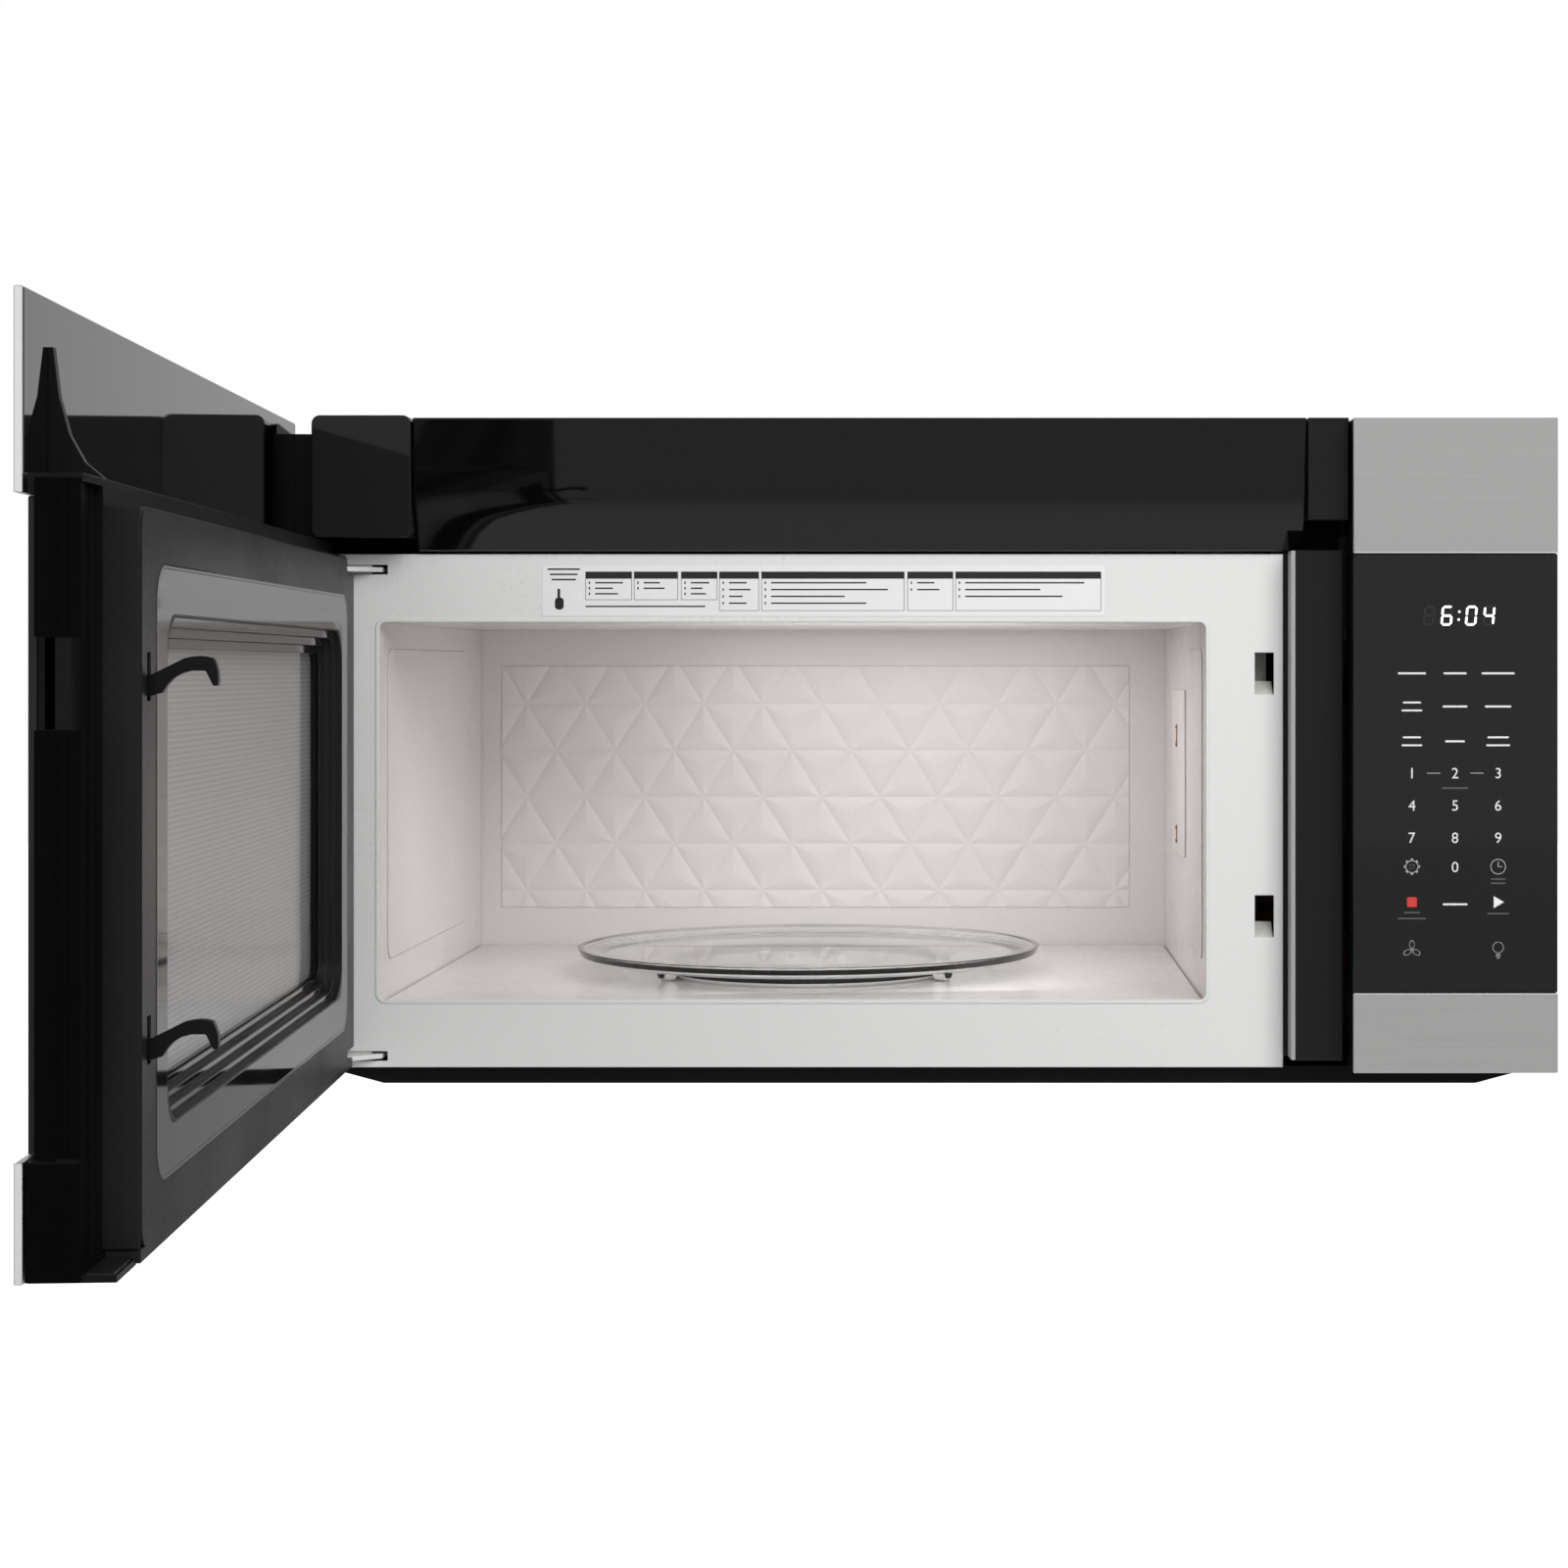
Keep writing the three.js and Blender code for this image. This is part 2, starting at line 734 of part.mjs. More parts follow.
function controlBoard() {
  const x = [controlLeft + board.left, right - board.right];
  const z = [face.glassBottom + board.low, face.glassTop - board.belowTop];
  const plate = block(x, [boardY, boardY + board.thickness], z);
  const [windowX, windowZ] = displayRange(gap);
  const screenBlock = block(windowX, [housingFront + gap, boardY + overlap], windowZ);
  const relayFoot = face.glassBottom + relay.low;
  const relays = Array.from({ length: relay.count }, (_, i) => {
    const start = x[0] + relay.start + relay.pitch * i;
    return block(
      [start, start + relay.width],
      [boardY + overlap, boardY + relay.depth],
      [relayFoot, relayFoot + relay.height],
    );
  });
  return joined(plate, screenBlock, ...relays);
}

const controlRange = [controlLeft, right];
const controlTopBand = () => block(controlRange, bandDepth, topBandHeight);
const controlBottomBand = () => block(controlRange, bandDepth, bottomBandHeight);
const controlGlass = () => block(controlRange, glassDepth, [face.glassBottom, face.glassTop]);

// ---- Door ------------------------------------------------------------------------------------------
const doorRange = [left, freeEdge];
const glassEnd = freeEdge - door.handWidth;
const doorTopBand = () => block(doorRange, bandDepth, topBandHeight);
const doorBottomBand = () => block(doorRange, bandDepth, bottomBandHeight);
const doorGlass = () => block([left, glassEnd], glassDepth, [face.glassBottom, face.glassTop]);

// The notches in the door's hinge end, where the hinge arms reach in to the axis.
function hingeNotches(above) {
  return armHeights.map((z) =>
    block(
      [left - past, hinge.x + notch.right],
      [hinge.y - notch.front, behind(door.innerDepth) + past],
      [z - notch.below, z + arm.thickness + above],
    ),
  );
}

function hingeLug(z) {
  const foot = z + arm.thickness + lug.lift;
  return block(
    [hinge.x - lug.left, hinge.x + lug.right],
    [hinge.y - lug.front, hinge.y + lug.back],
    [foot, foot + lug.thickness],
  );
}

function gussetShape() {
  const shape = new THREE.Shape();
  const bandBack = behind(face.band) + gap;
  const foot = door.shelfTop - door.shelfThickness;
  shape.moveTo(bandBack, foot);
  shape.lineTo(behind(door.frameDepth), foot);
  shape.lineTo(behind(door.frameDepth), door.shelfTop);
  shape.quadraticCurveTo(
    behind(gusset.bend),
    door.shelfTop + gusset.bendHeight,
    behind(face.band + gusset.reach),
    gusset.top,
  );
  shape.lineTo(bandBack, gusset.top);
  return shape;
}

function doorFrame() {
  const x = [left + door.inset, freeEdge - door.inset];
  const z = [face.bottom + door.bottomInset, door.shelfTop];
  const back = behind(door.frameDepth);
  const shelfStart = coverX[1] + door.shelfStart;
  const outer = block(x, [housingFront, back], z);
  const recess = block(
    [x[0] + door.rim, pocketLeft - door.rim],
    [housingFront - past, back - wall],
    [z[0] + door.rim, z[1] - door.rim],
  );
  const seen = panel(
    roundedOutline(viewingX, [viewing.bottom, viewing.top], viewing.corner),
    [back - 2 * wall, back + past],
  );
  const step = block(
    [shelfStart, freeEdge],
    [behind(door.thinDepth), back + past],
    [z[0] + door.shelfThickness, z[1] - door.shelfThickness],
  );
  const handRecess = block(
    [glassEnd + gap, freeEdge],
    [housingFront - past, behind(door.handDepth)],
    [face.glassBottom, face.glassTop],
  );
  const fingerHole = block(
    [pocketLeft, glassEnd + past],
    [behind(pocket.depth), behind(door.handDepth)],
    [pocket.bottom, pocket.bottom + pocket.height],
  );
  const bottomShelf = block(
    [shelfStart, x[1]],
    [back - overlap, behind(door.shelfDepth)],
    [z[0], z[0] + door.shelfThickness - overlap],
  );
  const gussetX = freeEdge - gusset.fromEdge - gusset.thickness / 2;
  const rib = block(
    [x[0], x[0] + endRib.thickness],
    [behind(face.band) + gap, behind(endRib.depth)],
    [z[1] - door.shelfThickness, endRib.top],
  );
  const hollowed = cut(outer, recess, seen, step, handRecess, fingerHole);
  const bores = armHeights.map((foot) =>
    disc(lug.bore, [hinge.x, hinge.y], [foot, foot + arm.thickness + arm.pinLength + lug.boreEnd]),
  );
  const shape = joined(
    cut(hollowed, ...hingeNotches(notch.above)),
    ...armHeights.map(hingeLug),
    bottomShelf,
    rib,
    rail(gussetShape(), [gussetX, gussetX + gusset.thickness]),
  );
  return cut(shape, ...bores);
}

// The window opening, widened all round.
const viewingSpan = (inset) => [
  [viewingX[0] - inset, viewingX[1] + inset],
  [viewing.bottom - inset, viewing.top + inset],
];

function choke() {
  const front = behind(door.frameDepth) + gap;
  const back = behind(door.innerDepth);
  const hole = (inset, from) =>
    panel(roundedOutline(...viewingSpan(inset), viewing.corner + inset), [from, back + past]);
  const outer = panel(
    roundedOutline(coverX, [cover.bottom, cover.top], cover.corner),
    [front, back],
  );
  const steps = Array.from({ length: viewing.ledges }, (_, i) =>
    hole((i + 1) * viewing.ledge, behind(viewing.lowest + i * viewing.rise)),
  );
  const [ledgeX, ledgeZ] = viewingSpan(viewing.ledges * viewing.ledge + wall);
  const channel = cut(
    block(
      [coverX[0] + wall, coverX[1] - wall],
      [front - past, back - wall],
      [cover.bottom + wall, cover.top - wall],
    ),
    block(ledgeX, [front - 2 * past, back], ledgeZ),
  );
  const [seatX, seatZ] = viewingSpan(window.lip + gap);
  const glassSeat = block(seatX, [front - past, front + window.thickness + gap], seatZ);
  const side = latch.thickness / 2 + latch.sideClearance;
  const slots = drops.map((drop) => {
    const foot = hook.root - latch.slotMargin - drop;
    const height = hook.height + latch.travel + latch.slotRoom + latch.slotMargin;
    return block([latchX - side, latchX + side], [back - 2 * wall, back + past], [foot, foot + height]);
  });
  const postTop = latchBarBottom - latchSpring.length - 2 * gap;
  const post = block(
    [latchX - springPost.halfWidth, latchX + springPost.halfWidth],
    [front, back - wall + overlap],
    [postTop - springPost.height, postTop],
  );
  const notches = hingeNotches(lug.lift + lug.thickness + gap);
  const opened = cut(outer, hole(0, front - past), ...steps, channel, glassSeat, ...notches, ...slots);
  return joined(opened, post);
}

function innerWindow() {
  const front = behind(door.frameDepth) + gap;
  const [x, z] = viewingSpan(window.lip);
  return block(x, [front, front + window.thickness], z);
}

function doorScreen() {
  const back = behind(door.frameDepth) - wall - gap;
  const [x, z] = viewingSpan(screen.margin);
  return block(x, [back - screen.thickness, back], z);
}

// ---- Latch -----------------------------------------------------------------------------------------
// One hook in Y and Z: a rising arm whose nose turns down behind the front frame.
function hookShape(drop) {
  const { reach, nose, crown, crownRise } = hook;
  const out = (distance) => behind(door.innerDepth + distance);
  const z = (height) => height - drop;
  const inBar = behind(latch.barBack) - past;
  const shape = new THREE.Shape();
  shape.moveTo(inBar, z(hook.root));
  shape.lineTo(out(0), z(hook.root));
  shape.lineTo(out(reach * hookShare.neck), z(hook.neck));
  shape.quadraticCurveTo(
    out(reach * hookShare.bend),
    z(hook.rise),
    out(reach * hookShare.throat),
    z(hook.throat),
  );
  shape.lineTo(out(reach - 2 * nose), z(hook.throat));
  shape.lineTo(out(reach - nose), z(hook.noseBottom));
  shape.lineTo(out(reach - nose * hookShare.tip), z(hook.noseBottom));
  shape.quadraticCurveTo(out(reach), z(hook.throat), out(reach - nose), z(crown - crownRise));
  shape.quadraticCurveTo(
    out(reach * hookShare.crest),
    z(crown + crownRise),
    out(reach * hookShare.shoulder),
    z(crown - crownRise),
  );
  shape.lineTo(out(0), z(hook.root + hook.height));
  shape.lineTo(inBar, z(hook.root + hook.height));
  return shape;
}

function doorLatch() {
  const x = [latchX - latch.thickness / 2, latchX + latch.thickness / 2];
  const y = [behind(door.frameDepth) + 2 * gap, behind(latch.barBack)];
  const bar = block(x, y, [latchBarBottom, latch.barTop]);
  return joined(bar, ...drops.map((drop) => rail(hookShape(drop), x)));
}

class Helix extends THREE.Curve {
  constructor(radius, length, turns) {
    super();
    Object.assign(this, { radius, length, turns });
  }

  getPoint(t, target = new THREE.Vector3()) {
    const angle = 2 * Math.PI * this.turns * t;
    return target.set(this.radius * Math.cos(angle), this.radius * Math.sin(angle), this.length * t);
  }
}

function latchSpringCoil() {
  const { radius, wire, turns, length } = latchSpring;
  const section = new THREE.Shape().absarc(0, 0, wire, 0, 2 * Math.PI);
  const coil = new THREE.ExtrudeGeometry(section, {
    steps: turns * latchSpring.stepsPerTurn,
    curveSegments: latchSpring.wireSides,
    extrudePath: new Helix(radius, length - 2 * wire, turns),
  });
  const y = behind((door.frameDepth + door.innerDepth - wall) / 2);
  return solid(coil.translate(latchX, y, latchBarBottom - gap - length + wire));
}

// ---- Hinge arms ------------------------------------------------------------------------------------
function hingeArm(z, flangeHeight) {
  const back = behind(arm.reach);
  const armRight = left + arm.fromLeft;
  const outline = polygon([
    [armRight, back],
    [hinge.x + arm.bossRadius, back],
    [hinge.x + arm.bossRadius, behind(frame.setback)],
    [hinge.x, hinge.y + arm.bossRadius],
    [hinge.x, hinge.y - arm.bossRadius],
    [armRight, behind(frame.setback)],
  ]);
  const height = [z, z + arm.thickness];
  const axis = [hinge.x, hinge.y];
  const boss = disc(arm.bossRadius, axis, height, pinSides);
  const pin = disc(arm.pinRadius, axis, [z, z + arm.thickness + arm.pinLength], pinSides);
  const flange = block(
    [left + armFlange.start, left + armFlange.end],
    [cavityFront, cavityFront + armFlange.thickness],
    flangeHeight,
  );
  return joined(slab(outline, height), boss, pin, flange);
}

const upperFlange = [arm.upper - 2 * armFlange.height, frame.top - frame.thickness - gap];
const lowerFlange = [arm.lower, armFlange.lowerTop];

// ---- Interlock -------------------------------------------------------------------------------------
const bracketX = latchX - interlock.fromLatch;
const leverX = [
  latchX - latch.thickness / 2 - leverSize.sideMargin,
  latchX + latch.thickness / 2 + leverSize.sideMargin,
];
const leverY = behind(door.innerDepth + hook.reach) + leverSize.behindHook;
const leverPin = [leverY + leverSize.thickness / 2, leverSize.top - leverSize.thickness];

function rampShape(drop) {
  const top = slot.bottom + ramp.height - drop;
  const foot = slot.bottom - ramp.thickness - drop;
  return polygon([
    [behind(ramp.start), foot + ramp.thickness],
    [behind(ramp.start), foot - ramp.thickness],
    [behind(ramp.end), foot],
    [behind(ramp.end), top],
    [behind(ramp.crest), top],
  ]);
}

function interlockBracket() {
  const z = [slot.bottom - latch.pitch - interlock.belowSlot, interlock.top];
  const plateX = [bracketX, bracketX + ramp.thickness];
  const plate = block(plateX, [cavityFront, behind(frame.setback + interlock.depth)], z);
  const footX = [bracketX, slotLeft - interlock.footGap];
  const foot = block(footX, [cavityFront, cavityFront + ramp.thickness], z);
  const ramps = drops.map((drop) =>
    rail(rampShape(drop), [bracketX + overlap, slotLeft + slot.width]),
  );
  const pinX = [bracketX + overlap, leverX[1] + interlock.pinEnd];
  return joined(plate, foot, ...ramps, barX(interlock.pinRadius, leverPin, pinX, smallSides));
}

function interlockLever() {
  const { top, length, thickness } = leverSize;
  const strip = block(leverX, [leverY, leverY + thickness], [top - length, top]);
  const eye = barX(thickness, leverPin, leverX, smallSides);
  const boreX = [leverX[0] - past, leverX[1] + past];
  return cut(joined(strip, eye), barX(interlock.pinRadius + gap, leverPin, boreX, smallSides));
}

function interlockSwitch(drop) {
  const { width, depth, height, setback } = microSwitch;
  const { inset, low, out } = switchButton;
  const x = bracketX + ramp.thickness + gap;
  const y = behind(setback);
  const base = leverSize.top - leverSize.length - drop;
  const shell = block([x, x + width], [y, y + depth], [base, base + height]);
  const button = block(
    [x + width / 2, x + width - inset],
    [y - out, y + out],
    [base + low, base + low + switchButton.height],
  );
  return joined(shell, button);
}

// ---- Microwave source ------------------------------------------------------------------------------
const guideLeft = cavityX[1] + cavity.wall + gap;
const guideRight = guideLeft + guide.depth;
const guideCentreY = behind(guide.start + guide.length / 2);

function waveguide() {
  const y = [behind(guide.start), behind(guide.start + guide.length)];
  const shell = block([guideLeft, guideRight], y, [guide.bottom, guide.top]);
  const hollow = block(
    [guideLeft + guide.wall, guideRight - guide.wall],
    [y[0] + guide.wall, y[1] - guide.wall],
    [guide.bottom + guide.wall, guide.top - guide.wall],
  );
  const port = block([guideLeft - past, guideLeft + 2 * guide.wall], portY, portZ);
  const antennaHole = barX(
    magnetron.antennaHole,
    [guideCentreY, magnetron.centre],
    [guideRight - 2 * guide.wall, guideRight + past],
  );
  return cut(shell, hollow, port, antennaHole);
}

// A span around a middle, made wider or narrower by a margin at each end.
const spanAround = (middle, size, margin = 0) => [middle - size / 2 - margin, middle + size / 2 + margin];

function magnetronUnit() {
  const { width, length, height, centre } = magnetron;
  const x = guideRight + gap;
  const y = spanAround(guideCentreY, length);
  const z = spanAround(centre, height);
  const plate = block(
    [x, x + magnetronPlate.thickness],
    spanAround(guideCentreY, length, magnetronPlate.lengthMargin),
    spanAround(centre, height, magnetronPlate.heightMargin),
  );
  const core = block([x + magnetronPlate.thickness - overlap, x + width], y, z);
  const { count, share, depth, inset } = magnetronGroove;
  const pitch = width / (count + 1);
  const grooves = Array.from({ length: count }, (_, i) =>
    block(
      spanAround(x + pitch * (i + 1), pitch * share),
      [y[0] - past, y[0] + depth],
      spanAround(centre, height, -inset),
    ),
  );
  const antenna = barX(
    magnetron.antenna,
    [guideCentreY, centre],
    [x - magnetron.antennaLength, x + overlap],
    pinSides,
  );
  const box = block(
    [x + width - overlap, x + width + magnetronBox.width],
    spanAround(guideCentreY, length, -magnetronBox.lengthInset),
    spanAround(centre, height, -magnetronBox.heightInset),
  );
  return joined(cut(core, ...grooves), plate, antenna, box);
}

function hvTransformer() {
  const { width, length, height, foot, footMargin, coil, corner } = transformer;
  const x = [cavityX[1] + transformer.fromCavity, cavityX[1] + transformer.fromCavity + width];
  const y = [-transformer.fromBack, -transformer.fromBack + length];
  const z0 = panFloor + gap;
  const plate = block([x[0] - footMargin, x[1] + footMargin], y, [z0, z0 + foot]);
  const core = block(x, y, [z0 + foot - overlap, z0 + height]);
  const windings = windingShares.map((share) => {
    const z = z0 + foot + share * (height - foot);
    const outline = roundedOutline([x[0] + coil, x[1] - coil], [z - coil, z + coil], corner);
    return panel(outline, [y[0] - coil, y[1] + coil]);
  });
  return joined(plate, core, ...windings);
}

function hvCapacitor() {
  const { width, length, height, flat } = capacitor;
  const x = cavityX[1] + capacitor.fromCavity;
  const y0 = -capacitor.fromBack;
  const z0 = panFloor + gap;
  const outline = roundedOutline(spanAround(x, width), [y0, y0 + length], (width - flat) / 2);
  const tabs = capacitorTab.shares.map((share) =>
    block(
      spanAround(x, capacitorTab.width),
      spanAround(y0 + share * length, capacitorTab.thickness),
      [z0 + height - overlap, z0 + height + capacitorTab.height],
    ),
  );
  return joined(slab(outline, [z0, z0 + height]), ...tabs);
}

// ---- Turntable -------------------------------------------------------------------------------------
const tableCentre = [table.x, table.y];

function turntableMotor() {
  const top = cavityBottom - cavity.wall - gap;
  const can = disc(trayMotor.radius, tableCentre, [top - trayMotor.height, top]);
  const shaft = disc(trayMotor.shaft, tableCentre, [top - overlap, top + trayMotor.shaftLength], pinSides);
  return joined(can, shaft);
}

function turntableCoupler() {
  const z0 = cavityBottom + coupler.lift;
  const top = z0 + coupler.height;
  const hub = disc(coupler.hub, tableCentre, [z0, top]);
  const lobes = around(coupler.lobes, (angle) =>
    spoke(tableCentre, angle, [0, coupler.lobe], coupler.lobeWidth, [top - coupler.lobeHeight, top]),
  );
  const socket = disc(coupler.socket, tableCentre, [z0 - past, z0 + coupler.socketDepth], pinSides);
  return cut(joined(hub, ...lobes), socket);
}

function glassTray() {
  const { radius, bottom, rimTop, thickness, flat, rimFoot } = tray;
  const plate = turned(
    [
      [0, bottom],
      [flat, bottom],
      [radius - thickness / 2, bottom + thickness],
      [radius, rimTop],
      [radius - thickness, rimTop],
      [radius - rimFoot, bottom + rimFoot],
      [flat - thickness / 2, bottom + thickness],
      [0, bottom + thickness],
    ],
    tableCentre,
    tray.sides,
  );
  const reach = spanAround(trayNub.radius, trayNub.length);
  const nubs = around(coupler.lobes, (angle) =>
    spoke(tableCentre, angle + Math.PI / coupler.lobes, reach, trayNub.width, [
      bottom - trayNub.height,
      bottom + overlap,
    ]),
  );
  return joined(plate, ...nubs);
}

const rollerAngle = (index) => Math.PI / 2 + (2 * Math.PI * index) / roller.count;

// The ring and its rollers are drawn around the table's centre, inside a group of their own.
function rollerRing() {
  const { inner, outer, height, sides: hoopSides } = ring;
  const z = [-height / 2, height / 2];
  const section = [[inner, z[0]], [outer, z[0]], [outer, z[1]], [inner, z[1]], [inner, z[0]]];
  const hoop = turned(section, [0, 0], hoopSides);
  const tip = roller.track + roller.width / 2 + gap;
  const axleEnds = [inner + roller.axleRoot, tip + overlap];
  const axles = Array.from({ length: roller.count }, (_, i) => {
    const axle = barX(roller.axle, [0, 0], axleEnds, smallSides);
    const head = barX(roller.head, [0, 0], [tip, tip + roller.headWidth], smallSides);
    return joined(axle, head).rotate([0, 0, THREE.MathUtils.radToDeg(rollerAngle(i))]);
  });
  return joined(hoop, ...axles);
}

function rollerWheel() {
  const [start, end] = spanAround(roller.track, roller.width);
  const wheel = barX(roller.radius, [0, 0], [start, end]);
  return cut(wheel, barX(roller.bore, [0, 0], [start - past, end + past], smallSides));
}

// ---- Hood blower -----------------------------------------------------------------------------------
const scrollWidth = blower.wheelWidth + 4 * rotor.side;
const motorEnd = blower.motorLength / 2 + gap;
const scrollRange = (side) => {
  const near = blower.x + side * motorEnd;
  const far = near + side * scrollWidth;
  return near < far ? [near, far] : [far, near];
};

function scroll(side) {
  const [x0, x1] = scrollRange(side);
  const outletTop = body.top - sheet - gap;
  const shape = (inset, [a, b], top) =>
    joined(
      barX(blower.radius - inset, [blowerY, blowerZ], [a, b]),
      block([a, b], [blowerY, blowerY + blower.radius - inset], [blowerZ, top]),
    );
  const inside = shape(blower.wall, [x0 + blower.wall, x1 - blower.wall], outletTop + past);
  const inlet = barX(blower.inlet, [blowerY, blowerZ], [x0 - past, x1 + past]);
  return cut(shape(0, [x0, x1], outletTop), inside, inlet);
}

function blowerHousing() {
  const z0 = cavityTop + cavity.wall + gap;
  const x = [scrollRange(-1)[0], scrollRange(1)[1]];
  const y = spanAround(blowerY, 2 * blowerBase.halfLength);
  const base = block(x, y, [z0, z0 + blowerBase.height]);
  const webs = sides.map((side) => {
    const [a, b] = scrollRange(side);
    return block(
      spanAround((a + b) / 2, 2 * wall),
      spanAround(blowerY, 2 * wall),
      [z0, blowerZ - blower.radius + blower.wall / 2],
    );
  });
  return joined(scroll(-1), scroll(1), base, ...webs);
}

function blowerMotor() {
  const x = spanAround(blower.x, blower.motorLength);
  const can = barX(blower.motorRadius, [blowerY, blowerZ], x);
  const foot = block(
    [x[0] + motorFoot.inset, x[1] - motorFoot.inset],
    spanAround(blowerY, blowerBase.halfLength),
    [cavityTop + cavity.wall + 2 * gap + blowerBase.height, blowerZ - motorFoot.top],
  );
  const bore = barX(rotor.bore, [blowerY, blowerZ], [x[0] - past, x[1] + past], pinSides);
  return cut(joined(can, foot), bore);
}

// One drum wheel: a disc with a hub on its motor side, blades, and a hoop at its far side.
function blowerWheel(side) {
  const hubCentre = [blowerY, blowerZ];
  const start = blower.x + side * (motorEnd + blower.wall + rotor.side);
  const end = start + side * blower.wheelWidth;
  const span = (a, b) => (a < b ? [a, b] : [b, a]);
  const plate = barX(blower.wheel, hubCentre, span(start, start + side * rotor.disc));
  const hub = barX(rotor.hub, hubCentre, span(start, start + side * 2 * rotor.hub), pinSides);
  const hoop = cut(
    barX(blower.wheel, hubCentre, span(end, end - side * rotor.disc)),
    barX(blower.wheel - rotor.bladeDepth, hubCentre, span(end + side, end - side * 2 * rotor.disc)),
  );
  const [a, b] = span(start, end);
  const bladeRadius = blower.wheel - rotor.bladeDepth / 2 - overlap;
  const bladeLength = b - a - 2 * rotor.bladeInset;
  const blades = around(rotor.blades, (angle) => {
    const blade = new THREE.BoxGeometry(bladeLength, rotor.bladeDepth - overlap, rotor.bladeThickness);
    blade.translate((a + b) / 2, bladeRadius, 0).rotateX(angle).translate(0, blowerY, blowerZ);
    return solid(blade);
  });
  return joined(plate, hub, hoop, ...blades);
}

function blowerRotor() {
  const reach = motorEnd + blower.wall + rotor.side + rotor.hub;
  const shaft = barX(rotor.shaft, [blowerY, blowerZ], spanAround(blower.x, 2 * reach), pinSides);
  return joined(shaft, ...sides.map(blowerWheel));
}

function charcoalFilter() {
  const x = [charcoal.left, charcoal.left + charcoal.width];
  const y = [behind(charcoal.start), behind(charcoal.start + charcoal.thickness)];
  return block(x, y, [frame.top + gap, frame.top + gap + charcoal.height]);
}

// ---- Cooling fan -----------------------------------------------------------------------------------
const fanFront = -fan.fromBack;
const fanMotorY = fanFront + fanMotor.setback;
const fanAxis = [fanX, fan.z];

function fanShroud() {
  const x = spanAround(fanX, fan.side);
  const z = spanAround(fan.z, fan.side);
  const outer = block(x, [fanFront, innerBack], z);
  const hollow = block(
    spanAround(fanX, fan.side, -fan.wall),
    [fanFront + fan.wall, innerBack + past],
    spanAround(fan.z, fan.side, -fan.wall),
  );
  const hole = barY(fan.hole, fanAxis, [fanFront - past, fanFront + 2 * fan.wall]);
  const bar = block(
    [x[0] + overlap, x[1] - overlap],
    [fanMotorY, fanMotorY + fanMotor.barThickness],
    spanAround(fan.z, fanMotor.bar),
  );
  const motor = barY(fanMotor.radius, fanAxis, [fanMotorY, fanMotorY + fanMotor.length]);
  const shaftY = [fanMotorY - fanMotor.shaftLength, fanMotorY + overlap];
  const shaft = barY(fanMotor.shaft, fanAxis, shaftY, smallSides);
  return joined(cut(outer, hollow, hole), bar, motor, shaft);
}

function fanWheel() {
  const y = [fanMotorY - gap - fanMotor.wheelDepth, fanMotorY - gap];
  const middle = (fan.wheel + fan.hub - fanBlade.root - fanBlade.tip) / 2;
  const trimmed = block(
    spanAround(fanX, 2 * fan.side),
    [y[0] + fanBlade.trim, y[1] - fanBlade.trim],
    spanAround(fan.z, 2 * fan.side),
  );
  const blades = around(fanBlade.count, (angle) => {
    const length = fan.wheel - fan.hub + fanBlade.root - fanBlade.tip;
    const blade = new THREE.BoxGeometry(length, fanBlade.thickness, fanBlade.width);
    blade.rotateX(THREE.MathUtils.degToRad(fanBlade.twist)).translate(middle, 0, 0).rotateY(angle);
    return solid(blade.translate(fanX, (y[0] + y[1]) / 2, fan.z)).intersect(trimmed);
  });
  const boreY = [fanMotorY - fanMotor.shaftLength - gap, y[1] + past];
  return cut(joined(barY(fan.hub, fanAxis, y), ...blades), barY(fanMotor.bore, fanAxis, boreY, smallSides));
}

// ---- Underside and small fittings ------------------------------------------------------------------
function greaseFilter(side) {
  const z = [body.bottom + gap, panFloor + grease.thickness - gap];
  const outer = block(greaseRange(side, 2 * gap), greaseDepth(2 * gap), z);
  const tabStart = grease.start + greaseTab.start;
  const tab = block(
    spanAround(side * grease.fromMiddle, 2 * greaseTab.halfWidth),
    [behind(tabStart), behind(tabStart + greaseTab.thickness)],
    [z[0] - greaseTab.drop, z[0] + overlap],
  );
  return joined(outer, tab);
}

const lampHinge = { y: lampDepth(lamp.coverGap)[1] - lamp.cover / 2, z: body.bottom + lamp.cover / 2 };

function lampCover(side) {
  const x = lampRange(side, lamp.coverGap);
  const y = lampDepth(lamp.coverGap);
  const plate = block(x, [y[0], lampHinge.y], [body.bottom, body.bottom + lamp.cover]);
  const knuckle = barX(lamp.cover / 2, [lampHinge.y, lampHinge.z], x, smallSides);
  return joined(plate, knuckle);
}

// A bulb lying in a reflector that closes the top of the cover's opening.
function cooktopLamp(side) {
  const x = lampRange(side, -lamp.shellMargin);
  const [y0, y1] = lampDepth(-lamp.shellMargin);
  const z0 = panFloor + gap;
  const top = z0 + lamp.bulbLift + 2 * lamp.bulb + lamp.headroom;
  const shell = block(x, [y0, y1], [z0, top]);
  const hollow = block([x[0] + wall, x[1] - wall], [y0 + wall, y1 - wall], [z0 - past, top - wall]);
  const centre = [(y0 + y1) / 2, z0 + lamp.bulbLift + lamp.bulb];
  const socketEnd = x[0] + lamp.socketLength;
  const socket = barX(lamp.socket, centre, [x[0] + wall / 2, socketEnd]);
  const bulb = barX(lamp.bulb, centre, [socketEnd - overlap, x[1] - lamp.bulbEnd]);
  return joined(cut(shell, hollow), socket, bulb);
}

